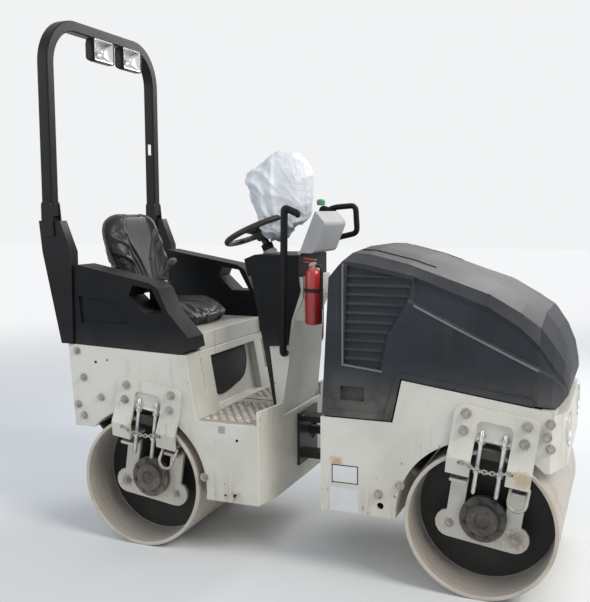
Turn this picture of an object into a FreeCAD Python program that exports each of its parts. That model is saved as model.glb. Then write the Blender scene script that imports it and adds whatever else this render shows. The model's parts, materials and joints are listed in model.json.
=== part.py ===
import FreeCAD, Part
import Sketcher
import math
import os

# Small articulated tandem road roller: two steel drums, a rear unit with the driver's place and a
# folding roll-over hoop, and a front unit with the engine under a lifting hood.
# Millimetres. +X is forward, +Y the driver's left, +Z up, and Z = 0 is the ground.
# Places with _ahead are measured forward from the axis of the drum of their own unit.

SIZES = (
    # drums
    ("drum_radius", 290, "outer radius of the drum shell"),
    ("drum_width", 900, "width of the drum shell"),
    ("shell_wall", 16, "thickness of the drum shell"),
    ("web_inset", 190, "rim plane to the outer face of the drum's web"),
    ("web_wall", 12, "thickness of the drum's web"),
    ("journal_radius", 58, "hub journal that carries the web"),
    ("journal_play", 0.5, "radial play of the web on its journal"),
    ("rear_drum_x", -643, "rear drum axis"),
    ("wheelbase", 1480, "distance between the drum axes"),
    ("pivot_ahead", 735, "rear drum axis to the steering pivot"),
    # frames
    ("frame_width", 900, "over the side plates of both frames"),
    ("frame_wall", 12, "steel plate of the frames"),
    ("arch_gap", 36, "drum surface to the arch in the side plates"),
    ("rear_end", 365, "rear drum axis back to the top of the rear plate"),
    ("rear_foot", 338, "rear drum axis back to the foot of the rear plate"),
    ("rear_foot_height", 515, "foot of the rear plate above the ground"),
    ("rear_deck_height", 889, "top of the rear frame at its back"),
    ("seat_front_ahead", 235, "top edge of the seat box's front"),
    ("seat_front_drop", 21, "rear deck down to the top of the seat box's front"),
    ("well_ahead", 285, "foot of the seat box's front, where the floor starts"),
    ("floor_height", 590, "driver's floor"),
    ("bulkhead_ahead", 596, "front face of the rear frame at its middle"),
    ("belly_height", 248, "underside of the step boxes"),
    ("box_heel", 322, "drum axis to the rear edge of the step boxes"),
    ("bulkhead_sweep", 24, "how far that face sweeps back to the side plates"),
    ("sweep_wide", 150, "width of the swept part on each side"),
    ("kick_rise", 62, "kick plate on the bulkhead above the floor"),
    ("box_recess", 30, "recess in the seat box's front"),
    ("box_recess_half", 230, "half width of that recess"),
    ("pillar_slot_offset", 321, "slot in the seat box's pillars, beside the centre plane"),
    ("pillar_slot_wide", 13, "width of that slot"),
    ("tread_wall", 4, "perforated tread on the floor"),
    ("tread_depth", 438, "tread measured in from the side"),
    ("front_rear_end", 635, "front drum axis back to the front frame's rear plate"),
    ("front_belly", 275, "underside of the front frame"),
    ("front_box_heel", 328, "front drum axis back to the arch at the underside"),
    ("lip_low", 664, "hood seam along the rear of the front frame"),
    ("lip_low_back", 345, "front drum axis back to the step in the seam"),
    ("lip_step_back", 310, "front drum axis back to the top of that step"),
    ("lip_step", 168, "how far the hood seam steps up over the drum"),
    ("lip_nose_rise", 88, "hood seam at the nose above the low seam"),
    ("nose_ahead", 262, "front drum axis to the nose end of the side plates"),
    ("nose_foot_ahead", 238, "front drum axis to the lower front corner"),
    ("nose_foot_height", 520, "height of that corner"),
    ("nose_reach", 300, "front drum axis to the flat of the nose plate"),
    ("nose_flat", 640, "width of the flat of the nose plate"),
    ("nose_rise", 66, "top of the nose plate above the low seam"),
    ("seam_gap", 6, "gap along the hood seam"),
    ("lashing_back", 386, "front drum axis back to the lashing holes"),
    ("lashing_height", 320, "lashing holes above the ground"),
    ("lashing_radius", 14, "lashing holes in the side plates"),
    ("lamp_radius", 72, "headlamp openings in the nose plate"),
    ("lamp_spacing", 540, "distance between the headlamps"),
    ("lamp_height", 655, "headlamps above the ground"),
    ("lamp_depth", 26, "depth of the headlamp openings"),
    # drum carriers
    ("carrier_tilt", 8, "nose-down lean of the carriers, degrees"),
    ("carrier_half", 157, "half width of a carrier plate"),
    ("carrier_wall", 15, "thickness of a carrier plate"),
    ("carrier_top", 450, "top of the plate above the drum axis"),
    ("carrier_bend", 325, "where the legs start to bulge, above the axis"),
    ("carrier_belly", 250, "widest point of the legs above the axis"),
    ("carrier_foot", 182, "ends of the legs above the axis"),
    ("carrier_bulge", 20, "how far the legs stand out"),
    ("carrier_corner", 32, "rounding of the plate's top corners"),
    ("slot_half", 67, "half width of the opening between the legs"),
    ("slot_top", 406, "top of that opening above the axis"),
    ("slot_corner", 24, "rounding of the opening"),
    ("shelf_wall", 14, "bracket shelf under a leg"),
    ("shelf_reach", 120, "how far the shelf reaches into the drum"),
    ("buffer_length", 34, "rubber block between shelf and yoke"),
    ("buffer_radius", 30, "radius of the rubber blocks"),
    ("buffer_offset", 112, "rubber blocks each side of the hub"),
    ("yoke_wall", 16, "thickness of the hub yoke"),
    ("yoke_inset", 100, "rim plane to the yoke's outer face"),
    ("yoke_half", 127, "hub centre line to the yoke's end bolts"),
    ("yoke_drop", 55, "drum axis down to those bolts"),
    ("yoke_end_radius", 56, "rounded ends of the yoke"),
    ("yoke_post_half", 32, "half width of the yoke's posts"),
    ("hub_radius", 90, "hub motor"),
    ("hub_reach", 24, "hub motor out from the yoke"),
    # scrapers
    ("rear_scraper_angle", 133, "direction from the rear drum axis to its scraper, degrees"),
    ("front_scraper_angle", 146, "the same for the front drum"),
    ("scraper_play", 6, "drum surface to the scraper's edge"),
    ("scraper_wall", 10, "thickness of the scraper bar"),
    ("scraper_width", 860, "length of the scraper bar"),
    ("seat_play", 0.3, "gap where one piece is seated on another"),
    # steering pivot
    ("fork_low", 352, "underside of the lower fork plate"),
    ("fork_high", 520, "underside of the upper fork plate"),
    ("fork_wall", 26, "thickness of the fork plates"),
    ("fork_half", 48, "half width of the fork plates"),
    ("knuckle_radius", 42, "upright boss of the knuckle"),
    ("pin_radius", 20, "steering pin"),
    ("pin_play", 0.1, "radial play of the pins"),
    ("shaft_radius", 36, "shaft that the front unit rocks on"),
    ("shaft_reach", 104, "pivot to the end of that shaft"),
    ("bearing_radius", 56, "bearing housing on the front frame"),
    ("bearing_back", 60, "pivot to the rear face of the bearing housing"),
    ("flange_margin", 13, "bearing housing to the edge of its flange"),
    ("ram_offset", 100, "steering cylinder beside the pivot"),
    ("ram_height", 450, "steering cylinder above the ground"),
    ("ram_back", 250, "pivot back to the barrel's eye"),
    ("ram_front", 58, "pivot forward to the rod's eye"),
    ("ram_radius", 22, "barrel of the steering cylinder"),
    ("ram_length", 190, "length of the barrel"),
    ("rod_radius", 11, "piston rod"),
    ("rod_grip", 61, "length of the rod inside the barrel at rest"),
    ("eye_radius", 17, "eye of the barrel"),
    ("eye_pin", 7, "pins through the eyes"),
    ("rod_eye_radius", 30, "eye of the rod"),
    ("rod_eye_bore", 22, "bore of the rod's eye, wide for its ball joint"),
    ("rod_eye_play", 17, "rod's eye to the lugs above and below it"),
    ("lug_wall", 10, "lugs that hold the eyes"),
    ("ram_hole", 44, "opening in the bulkhead for the barrel"),
    # driver's place
    ("console_width", 130, "moulded side consoles"),
    ("console_rise", 358, "top of the right console's rear above the deck"),
    ("console_fall", 76, "how far the console's top falls to its front bend"),
    ("console_brow_ahead", 67, "drum axis to the start of the console's front bend"),
    ("console_nose_ahead", 252, "foremost point of the right console"),
    ("console_left_shift", 45, "how much further forward the left one bends"),
    ("console_left_lift", 34, "how much higher the left console is"),
    ("console_nose_rise", 53, "height of that point above the deck"),
    ("console_toe_ahead", 206, "front foot of the consoles"),
    ("loop_wall", 26, "bar round the hand loops of the consoles"),
    ("loop_back", 108, "front bend back to the rear corner of the hand loop"),
    ("loop_ahead", 66, "front bend forward to the hand loop's front corner"),
    ("loop_drop", 130, "front bend down to the hand loop's lower edge"),
    ("panel_inset", 10, "moulded panel set into the console's outer side"),
    ("console_corner", 18, "rounded edges of the consoles"),
    ("platform_rise", 56, "top of the seat platform above the deck"),
    ("cushion_half", 240, "half width of the seat cushion"),
    ("cushion_back", 255, "drum axis back to the cushion's rear"),
    ("cushion_ahead", 175, "drum axis to the cushion's front"),
    ("cushion_rise", 117, "top of the cushion above the platform"),
    ("back_half", 235, "half width of the seat back"),
    ("back_rise", 426, "top of the seat back above the cushion"),
    ("back_wall", 95, "thickness of the seat back"),
    ("back_foot_back", 165, "drum axis back to the front of the seat back's foot"),
    ("back_lean", 125, "how far the seat back leans over its height"),
    ("lever_ahead", 22, "drive lever"),
    ("lever_inset", 34, "drive lever inboard of the right console"),
    ("lever_lean", 32, "forward lean of the lever, degrees"),
    ("plinth_rise", 274, "top of the lever's pedestal above the deck"),
    ("lever_length", 132, "length of the drive lever"),
    ("lever_radius", 11, "stem of the drive lever"),
    ("knob_radius", 21, "grip of the drive lever"),
    ("boot_radius", 30, "rubber boot of the lever"),
    ("boot_rise", 34, "height of that boot"),
    # roll-over hoop
    ("hoop_width", 920, "over the posts"),
    ("hoop_rise", 843, "top of the hoop above its hinge"),
    ("tube_wide", 50, "hoop tube seen from the front"),
    ("tube_deep", 56, "hoop tube seen from the side"),
    ("hoop_corner", 215, "outer radius of the hoop's corners"),
    ("hoop_back", 447, "rear drum axis back to the hinge of the hoop"),
    ("hinge_rise", 611, "hinge of the hoop above the deck"),
    ("hinge_clear", 62, "hinge down to the top of the fixed leg"),
    ("hinge_pin", 10, "hinge pin of the hoop"),
    ("clevis_wall", 8, "side plates of the hinge"),
    ("clevis_play", 6, "gap between clevis plates and post"),
    ("clevis_reach", 40, "clevis plates above the hinge"),
    ("clevis_root", 70, "clevis plates below the top of the fixed leg"),
    ("leg_foot_back", 392, "drum axis back to the rear of the leg's foot"),
    ("leg_foot_front", 330, "drum axis back to the front of the leg's foot"),
    ("gusset_back", 480, "drum axis back to the leg's rear edge at its widest"),
    ("gusset_front", 325, "drum axis back to the leg's front edge there"),
    ("gusset_rise", 411, "the widest place of the leg above the deck"),
    ("leg_head_back", 494, "drum axis back to the rear of the leg's top"),
    ("leg_head_front", 380, "drum axis back to the front of the leg's top"),
    ("work_lamp_offset", 119, "work lamps beside the centre plane"),
    ("work_lamp_wide", 165, "width of a work lamp"),
    ("work_lamp_high", 112, "height of a work lamp"),
    ("work_lamp_deep", 66, "depth of a work lamp"),
    ("work_lamp_drop", 12, "top bar down to the lamps"),
    # steering column
    ("column_foot_ahead", 553, "rear edge of the column at the floor"),
    ("column_foot_front", 582, "front face of the column at the floor"),
    ("column_knee_front", 610, "front face of the column at its knee"),
    ("column_knee_rise", 225, "the knee above the floor"),
    ("column_hip_front", 628, "front face of the column below its chest"),
    ("column_hip_rise", 431, "the hip above the floor"),
    ("column_chest_rise", 508, "foot of the column's chest above the floor"),
    ("column_cover_foot", 10, "depth of the black rear cover at the floor"),
    ("column_cover_head", 48, "depth of that cover at the column's top"),
    ("column_foot_half", 225, "half width of the column at the floor"),
    ("column_head_ahead", 417, "rear edge of the column at its top"),
    ("column_head_front", 665, "front face of the column's chest"),
    ("dash_front", 646, "front face of the dash"),
    ("column_head_half", 172, "half width of the column at its top"),
    ("column_panel_wall", 9, "black panel on the column's sides"),
    ("column_rise", 600, "top of the column above the floor"),
    ("dash_rise", 95, "top of the dash above the column"),
    ("wheel_ahead", 388, "steering wheel"),
    ("wheel_rise", 107, "centre of the steering wheel above the dash"),
    ("wheel_tilt", 24, "lean of the steering wheel towards the driver, degrees"),
    ("wheel_radius", 165, "steering wheel to the middle of its rim"),
    ("wheel_rim", 13, "rim radius"),
    ("wheel_shaft", 17, "steering shaft"),
    ("wheel_reach", 150, "wheel centre to the foot of its shaft's socket"),
    ("socket_length", 78, "socket of the shaft in the dash"),
    ("socket_radius", 27, "radius of that socket"),
    ("wheel_hub", 34, "hub of the steering wheel"),
    ("wheel_hub_high", 26, "height of that hub"),
    ("spoke_wide", 24, "width of the wheel's spokes"),
    ("spoke_wall", 8, "thickness of the spokes"),
    ("spinner_radius", 20, "turning knob on the wheel's rim"),
    ("spinner_high", 46, "height of the turning knob"),
    ("rail_radius", 16, "hand rails"),
    ("rail_offset", 234, "hand rails beside the centre plane"),
    ("rail_rise", 221, "top of the hand rails above the dash"),
    ("rail_ahead", 604, "hand rails at their top"),
    ("rail_foot_ahead", 594, "lower ends of the hand rails in the column's side"),
    ("rail_foot_rise", 272, "height of those ends above the floor"),
    ("rail_return", 62, "length of the rails' forward return at the top"),
    ("rail_dip", 26, "how far that return dips"),
    ("rail_bend", 20, "how far the rails' corners are cut back"),
    ("cover_hinge_ahead", 636, "hinge of the dash cover"),
    ("cover_length", 195, "dash cover from hinge to its free edge"),
    ("cover_half", 145, "half width of the dash cover"),
    ("cover_depth", 62, "depth of the dash cover"),
    ("cover_wall", 5, "wall of the dash cover"),
    ("cover_open", 112, "how far the cover stands open, degrees"),
    ("cover_pin", 8, "hinge tube of the cover"),
    ("bag_ahead", 610, "foot of the plastic bag on the dash"),
    ("bag_neck", 26, "width of the bag's foot between the wheel and the cover"),
    ("bag_reach", 300, "how far the bag leans back over the wheel"),
    ("bag_half", 120, "half width of the bag"),
    ("bag_rise", 453, "top of the bag above the dash"),
    ("bag_tail_rise", 177, "underside of the bag at its rear, above the dash"),
    ("bag_brow_rise", 260, "underside of the bag above the wheel's front, above the dash"),
    ("bottle_radius", 38, "fire extinguisher"),
    ("bottle_ahead", 708, "fire extinguisher ahead of the rear drum axis"),
    ("bottle_offset", 158, "fire extinguisher beside the centre plane"),
    ("bottle_dome", 16, "dome of the extinguisher's shoulder"),
    ("bottle_rise", 395, "foot of the fire extinguisher above the floor"),
    ("bottle_length", 237, "body of the fire extinguisher"),
    # engine and hood
    ("engine_long", 460, "length of the engine block"),
    ("engine_wide", 460, "width of the engine"),
    ("engine_rise", 496, "top of the engine above the low seam"),
    ("engine_rear", 520, "front drum axis back to the rear of the engine block"),
    ("hood_half", 444, "half width of the hood"),
    ("hood_bevel_ahead", 527, "front drum axis back to the top of the hood's rear bevel"),
    ("hood_bevel_rise", 641, "top of that bevel above the low seam"),
    ("hood_bevel_foot", 550, "foot of that bevel above the low seam"),
    ("hood_wall", 6, "moulded hood"),
    ("hood_rear", 632, "front drum axis back to the hood's rear seam"),
    ("hood_tip_ahead", 298, "foremost point of the hood"),
    ("chin_back", 30, "how far the hood's chin falls back below its tip"),
    ("chin_rise", 40, "height of that chin above the nose's seam"),
    ("hood_rear_lean", 29, "how far the hood's rear face leans forward below its bevel"),
    ("hood_ledge", 16, "how far the lower side stands out of the upper side"),
    ("louvre_depth", 13, "depth of the louvre's recess"),
    ("louvre_pitch", 36, "distance between the louvre's ribs"),
    ("louvre_rib", 9, "height of a rib"),
    ("grip_depth", 22, "depth of the hood's hand grips"),
    ("bead_reach", 4, "how far the bead along the hood's lower edge stands out"),
    ("bead_high", 26, "height of that bead"),
    ("bead_ahead", 186, "front drum axis to the front end of the bead"),
    ("hood_hinge_ahead", 255, "hinge of the hood"),
    ("hood_hinge_rise", 136, "height of that hinge above the low seam"),
    ("hood_pin", 8, "pins of the hood's hinge"),
    ("hood_ear_offset", 200, "hinge ears beside the centre plane"),
    ("ear_wall", 10, "thickness of the hinge ears"),
)


# A length with the expression that the document binds it to.
class Size:
    def __init__(self, value, text):
        self.value = float(value)
        self.text = text

    def __add__(self, other):
        other = as_size(other)
        return Size(self.value + other.value, f"({self.text} + {other.text})")

    def __radd__(self, other):
        return as_size(other) + self

    def __sub__(self, other):
        other = as_size(other)
        return Size(self.value - other.value, f"({self.text} - {other.text})")

    def __rsub__(self, other):
        return as_size(other) - self

    def __mul__(self, other):
        other = as_size(other)
        return Size(self.value * other.value, f"({self.text} * {other.text})")

    def __rmul__(self, other):
        return as_size(other) * self

    def __truediv__(self, other):
        other = as_size(other)
        return Size(self.value / other.value, f"({self.text} / {other.text})")

    def __neg__(self):
        return Size(-self.value, f"(0 - {self.text})")


def as_size(number):
    return number if isinstance(number, Size) else Size(number, f"({number})")


# All the sizes by name, as attributes: s.drum_radius
class SizeBook:
    pass


doc = FreeCAD.newDocument("road_roller")
sheet = doc.addObject("Spreadsheet::Sheet", "Sizes")
s = SizeBook()
for row, (name, value, note) in enumerate(SIZES, start=1):
    sheet.set(f"A{row}", str(value))
    sheet.setAlias(f"A{row}", name)
    sheet.set(f"B{row}", note)
    setattr(s, name, Size(value, f"Sizes.{name}"))
doc.recompute()

# Heights that stand on another height and go with it: name, what it stands on, how far above.
STACKED = (
    ("seat_front_height", "rear_deck_height", -s.seat_front_drop),
    ("console_top", "rear_deck_height", s.console_rise),
    ("console_nose_height", "rear_deck_height", s.console_nose_rise),
    ("platform_height", "rear_deck_height", s.platform_rise),
    ("cushion_height", "platform_height", s.cushion_rise),
    ("back_top", "cushion_height", s.back_rise),
    ("plinth_height", "rear_deck_height", s.plinth_rise),
    ("hinge_height", "rear_deck_height", s.hinge_rise),
    ("hoop_top", "hinge_height", s.hoop_rise),
    ("column_top", "floor_height", s.column_rise),
    ("dash_top", "column_top", s.dash_rise),
    ("wheel_height", "dash_top", s.wheel_rise),
    ("rail_top", "dash_top", s.rail_rise),
    ("rail_foot", "floor_height", s.rail_foot_rise),
    ("bag_top", "dash_top", s.bag_rise),
    ("bag_tail", "dash_top", s.bag_tail_rise),
    ("bag_brow", "dash_top", s.bag_brow_rise),
    ("bottle_low", "floor_height", s.bottle_rise),
    ("bottle_high", "bottle_low", s.bottle_length),
    ("lip_high", "lip_low", s.lip_step),
    ("lip_nose", "lip_low", s.lip_nose_rise),
    ("nose_top", "lip_low", s.nose_rise),
    ("engine_high", "lip_low", s.engine_rise),
    ("hood_hinge_height", "lip_low", s.hood_hinge_rise),
)
for name, base, rise in STACKED:
    setattr(s, name, getattr(s, base) + rise)

# The hood's cross sections from its rear to its nose: ahead of the front drum axis, then heights
# above the low seam of the crown, the shoulder and the crease, how far the side is drawn in, and
# how much of the ledge below the crease the section has.
HOOD_SECTIONS = (
    (-640, 667, 628, 560, 0, 0), (-450, 665, 604, 530, 0, 0), (-292, 624, 570, 470, 0, 0),
    (-262, 613, 560, 454, 0, 1), (16, 523, 454, 318, 0, 1),
    (128, 460, 386, 264, 2, 1), (200, 416, 318, 229, 8, 1), (248, 352, 244, 200, 30, 1),
    (282, 278, 190, 160, 80, 1), (298, 203, 140, 120, 126, 0),
)
# The hand grip and the louvre in the hood's side: ahead of the front drum axis and above the low seam.
GRIP = ((-555, 66), (-555, 124), (-455, 124), (-455, 66))
LOUVRE = ((-539, 214), (-527, 600), (-268, 548), (-286, 469), (-362, 333), (-389, 197))
# The black panel on the column's sides: ahead of the rear drum axis and above the floor.
COLUMN_PANEL = (
    (469, 606), (505, 640), (640, 640), (656, 540), (617, 413), (606, 305), (518, 297))
# The panel set into the consoles' outer sides: ahead of the rear drum axis and above the deck.
CONSOLE_PANEL = ((-300, 218), (-109, 197), (-44, 112), (-56, 99), (-290, 97))

front_drum_x = s.rear_drum_x + s.wheelbase
pivot_x = s.rear_drum_x + s.pivot_ahead
arch_radius = s.drum_radius + s.arch_gap
half_frame = s.frame_width / 2
parts = []


def bind(item, path, size):
    item.setExpression(path, as_size(size).text)


def place(item, x=0, y=0, z=0, turn=0, axis=(0, 1, 0)):
    item.Placement = FreeCAD.Placement(
        FreeCAD.Vector(0, 0, 0), FreeCAD.Rotation(FreeCAD.Vector(*axis), 0))
    for letter, size in (("x", x), ("y", y), ("z", z)):
        bind(item, f"Placement.Base.{letter}", size)
    if turn != 0:
        item.Placement.Rotation = FreeCAD.Rotation(FreeCAD.Vector(*axis), as_size(turn).value)
        bind(item, "Placement.Rotation.Angle", turn)


def keep(item, label):
    item.Label = label
    parts.append(item)
    return item


def new_body(name):
    return doc.addObject("PartDesign::Body", name)


def origin_feature(body, role):
    return next(item for item in body.Origin.OriginFeatures if item.Role == role)


def new_sketch(body, plane, offset):
    sketch = body.newObject("Sketcher::SketchObject", body.Name + "_outline")
    sketch.AttachmentSupport = [(origin_feature(body, plane), "")]
    sketch.MapMode = "FlatFace"
    bind(sketch, ".AttachmentOffset.Base.z", offset)
    return sketch


# Fixes one point of a sketch at two named distances from the origin.
def pin_point(sketch, geometry, which, point):
    for kind, size in zip(("DistanceX", "DistanceY"), point):
        size = as_size(size)
        number = sketch.addConstraint(
            Sketcher.Constraint(kind, -1, 1, geometry, which, size.value))
        sketch.setExpression(f"Constraints[{number}]", size.text)


def outline_sketch(body, plane, points, offset=0):
    sketch = new_sketch(body, plane, offset)
    corners = [FreeCAD.Vector(as_size(a).value, as_size(b).value, 0) for a, b in points]
    count = len(corners)
    for number in range(count):
        line = Part.LineSegment(corners[number], corners[(number + 1) % count])
        sketch.addGeometry(line, False)
    for number in range(count):
        sketch.addConstraint(
            Sketcher.Constraint("Coincident", number, 2, (number + 1) % count, 1))
    for number, point in enumerate(points):
        pin_point(sketch, number, 1, point)
    return sketch


def circles_sketch(body, plane, circles, offset=0):
    sketch = new_sketch(body, plane, offset)
    for number, (centre, radius) in enumerate(circles):
        radius = as_size(radius)
        middle = FreeCAD.Vector(as_size(centre[0]).value, as_size(centre[1]).value, 0)
        sketch.addGeometry(Part.Circle(middle, FreeCAD.Vector(0, 0, 1), radius.value), False)
        pin_point(sketch, number, 3, centre)
        mark = sketch.addConstraint(Sketcher.Constraint("Radius", number, radius.value))
        sketch.setExpression(f"Constraints[{mark}]", radius.text)
    return sketch


# Pads a sketch along its plane's normal, or cuts with it. The normals: XY up, XZ to -Y, YZ forward.
def extrude(body, sketch, length, cut=False):
    kind = "PartDesign::Pocket" if cut else "PartDesign::Pad"
    feature = body.newObject(kind, body.Name + ("_cut" if cut else "_pad"))
    feature.Profile = sketch
    feature.Reversed = cut
    bind(feature, "Length", length)
    sketch.Visibility = False
    body.Tip = feature
    return feature


# Rounds the straight edges along an axis that pass through the given points of the outline.
def round_edges(body, feature, axis, points, radius):
    doc.recompute()
    along = {"X": 0, "Y": 1, "Z": 2}[axis]
    flat = [number for number in range(3) if number != along]
    names = []
    for number, edge in enumerate(feature.Shape.Edges, start=1):
        if len(edge.Vertexes) != 2:
            continue
        first, last = edge.Vertexes[0].Point, edge.Vertexes[1].Point
        if abs((last - first).Length - abs(last[along] - first[along])) > 0.01:
            continue
        for point in points:
            gap = max(abs(first[axis_number] - as_size(value).value)
                      for axis_number, value in zip(flat, point))
            if gap < 0.05:
                names.append(f"Edge{number}")
                break
    fillet = body.newObject("PartDesign::Fillet", body.Name + "_round")
    fillet.Base = (feature, names)
    bind(fillet, "Radius", radius)
    body.Tip = fillet
    return fillet


# A plate or block: an outline on an origin plane, from one level to another along the plane's axis.
def slab(name, plane, points, low, high, rounds=()):
    body = new_body(name)
    start = -as_size(high) if plane == "XZ_Plane" else as_size(low)
    feature = extrude(body, outline_sketch(body, plane, points, start), as_size(high) - low)
    axis = {"XY_Plane": "Z", "XZ_Plane": "Y", "YZ_Plane": "X"}[plane]
    for radius, corners in rounds:
        feature = round_edges(body, feature, axis, [points[number] for number in corners], radius)
    return body


def cut_outline(body, plane, points, low, high):
    start = -as_size(high) if plane == "XZ_Plane" else as_size(low)
    sketch = outline_sketch(body, plane, points, start)
    return extrude(body, sketch, as_size(high) - low, cut=True)


def cut_circles(body, plane, circles, low, high):
    start = -as_size(high) if plane == "XZ_Plane" else as_size(low)
    return extrude(body, circles_sketch(body, plane, circles, start), as_size(high) - low, cut=True)


def box(name, low, high):
    item = doc.addObject("Part::Box", name)
    for path, start, end in zip(("Length", "Width", "Height"), low, high):
        bind(item, path, as_size(end) - start)
    place(item, *low)
    return item


# A round bar from a start point, along X, Y or Z, or a faceted one with a number of sides.
def bar(name, start, axis, length, radius, sides=0):
    item = doc.addObject("Part::Prism" if sides else "Part::Cylinder", name)
    bind(item, "Circumradius" if sides else "Radius", radius)
    bind(item, "Height", length)
    if sides:
        item.Polygon = sides
    turns = {"X": ((0, 1, 0), 90), "Y": ((1, 0, 0), -90), "Z": ((0, 1, 0), 0)}
    direction, turn = turns[axis]
    place(item, *start, turn, direction)
    return item


def fuse(name, *items):
    item = doc.addObject("Part::MultiFuse", name)
    item.Shapes = list(items)
    return item


def cut(name, base, tool):
    item = doc.addObject("Part::Cut", name)
    item.Base = base
    item.Tool = tool
    return item


# Solids of one node that don't touch.
def group(name, *items):
    item = doc.addObject("Part::Compound", name)
    item.Links = list(items)
    return item


# A body turned about the vertical axis of its sketch: Y for XY_Plane, Z for XZ_Plane.
def turned(name, plane, points):
    body = new_body(name)
    sketch = outline_sketch(body, plane, points)
    feature = body.newObject("PartDesign::Revolution", name + "_turned")
    feature.Profile = sketch
    feature.ReferenceAxis = (sketch, ["V_Axis"])
    feature.Angle = 360
    body.Tip = feature
    return body


def drum(name, x):
    rim = s.drum_width / 2
    inner = s.drum_radius - s.shell_wall
    web_out = rim - s.web_inset
    web_in = web_out - s.web_wall
    bore = s.journal_radius + s.journal_play
    body = turned(name, "XY_Plane", [
        (s.drum_radius, -rim), (s.drum_radius, rim), (inner, rim), (inner, web_out),
        (bore, web_out), (bore, web_in), (inner, web_in), (inner, -web_in), (bore, -web_in),
        (bore, -web_out), (inner, -web_out), (inner, -rim)])
    place(body, x, 0, s.drum_radius)
    return keep(body, name)


# Where the seat box's sloping front is at a height, moved back by a depth.
def box_front(height, depth=0):
    slope = (s.well_ahead - s.seat_front_ahead) / (s.seat_front_height - s.floor_height)
    return s.rear_drum_x + s.seat_front_ahead + (s.seat_front_height - height) * slope - depth


def rear_frame():
    x = s.rear_drum_x
    wall = s.frame_wall
    arch = arch_radius + wall
    crown = s.drum_radius + arch
    front = x + s.bulkhead_ahead
    swept = front - s.bulkhead_sweep
    points = [
        (x - s.rear_foot, s.rear_foot_height), (x - s.rear_end, s.rear_deck_height),
        (x + s.seat_front_ahead, s.seat_front_height), (x + s.well_ahead, s.floor_height),
        (front, s.floor_height), (front, s.belly_height),
        (x + s.box_heel - 40, s.belly_height), (x, s.rear_foot_height)]
    body = slab("rear_frame", "XZ_Plane", points, -half_frame, half_frame)
    cut_circles(body, "XZ_Plane", [((x, s.drum_radius), arch_radius)],
                -half_frame - 1, half_frame + 1)
    inset = wall + s.box_recess
    cavity = [
        (x - s.rear_foot + wall, crown), (x - s.rear_end + wall, s.rear_deck_height - wall * 1.5),
        (x + s.seat_front_ahead - inset, s.seat_front_height - wall * 1.5),
        (x + s.well_ahead - inset, s.floor_height - wall),
        (swept - wall, s.floor_height - wall), (swept - wall, s.belly_height + wall),
        (x + arch, s.belly_height + wall), (x + arch, s.drum_radius + arch * 0.414),
        (x + arch * 0.414, crown)]
    cut_outline(body, "XZ_Plane", cavity, -half_frame + wall, half_frame - wall)
    cut_circles(body, "YZ_Plane", [((s.ram_offset, s.ram_height), s.ram_hole)],
                swept - wall - 5, front + 5)
    # the recessed front of the seat box and the slots in the pillars beside it
    high, low = s.seat_front_height - wall * 3, s.floor_height + wall
    cut_outline(body, "XZ_Plane", [
        (box_front(high) + 2, high), (box_front(low) + 2, low),
        (box_front(low, s.box_recess), low), (box_front(high, s.box_recess), high)],
        -s.box_recess_half, s.box_recess_half)
    middle = half_frame - s.sweep_wide
    for side in (1, -1):
        near = s.pillar_slot_offset - s.pillar_slot_wide / 2
        far = s.pillar_slot_offset + s.pillar_slot_wide / 2
        bottom = s.floor_height + wall * 8
        cut_outline(body, "XZ_Plane", [
            (box_front(high) + 2, high), (box_front(bottom) + 2, bottom),
            (box_front(bottom, wall), bottom), (box_front(high, wall), high)],
            *((near, far) if side > 0 else (-far, -near)))
        cut_outline(body, "XY_Plane", [
            (front, side * middle), (front + 5, side * middle),
            (front + 5, side * (half_frame + 1)), (swept, side * (half_frame + 1)),
            (swept, side * half_frame)], s.belly_height - 1, s.floor_height + 1)
        # kick plate beside the column's foot
        foot = s.column_foot_half + 2
        extrude(body, outline_sketch(body, "XY_Plane", [
            (front, side * foot), (front, side * middle), (swept, side * half_frame),
            (swept - wall, side * half_frame), (front - wall, side * middle),
            (front - wall, side * foot)], s.floor_height - 1), s.kick_rise + 1)
    return keep(body, "rear_frame")


def step_treads():
    x = s.rear_drum_x
    front = x + s.bulkhead_ahead - s.frame_wall - 4
    rear = x + s.well_ahead + 6
    plates = []
    for name, side in (("tread_right", -1), ("tread_left", 1)):
        edge = half_frame - 4
        foot = x + s.column_foot_ahead - 6
        plates.append(slab(name, "XY_Plane", [
            (rear, side * edge), (front - s.bulkhead_sweep, side * edge),
            (front, side * (half_frame - s.sweep_wide)),
            (front, side * (s.column_foot_half + 6)), (foot, side * (s.column_foot_half + 6)),
            (foot, side * (half_frame - s.tread_depth)),
            (rear, side * (half_frame - s.tread_depth))],
            s.floor_height, s.floor_height + s.tread_wall))
    return keep(group("step_treads", *plates), "step_treads")


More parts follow.
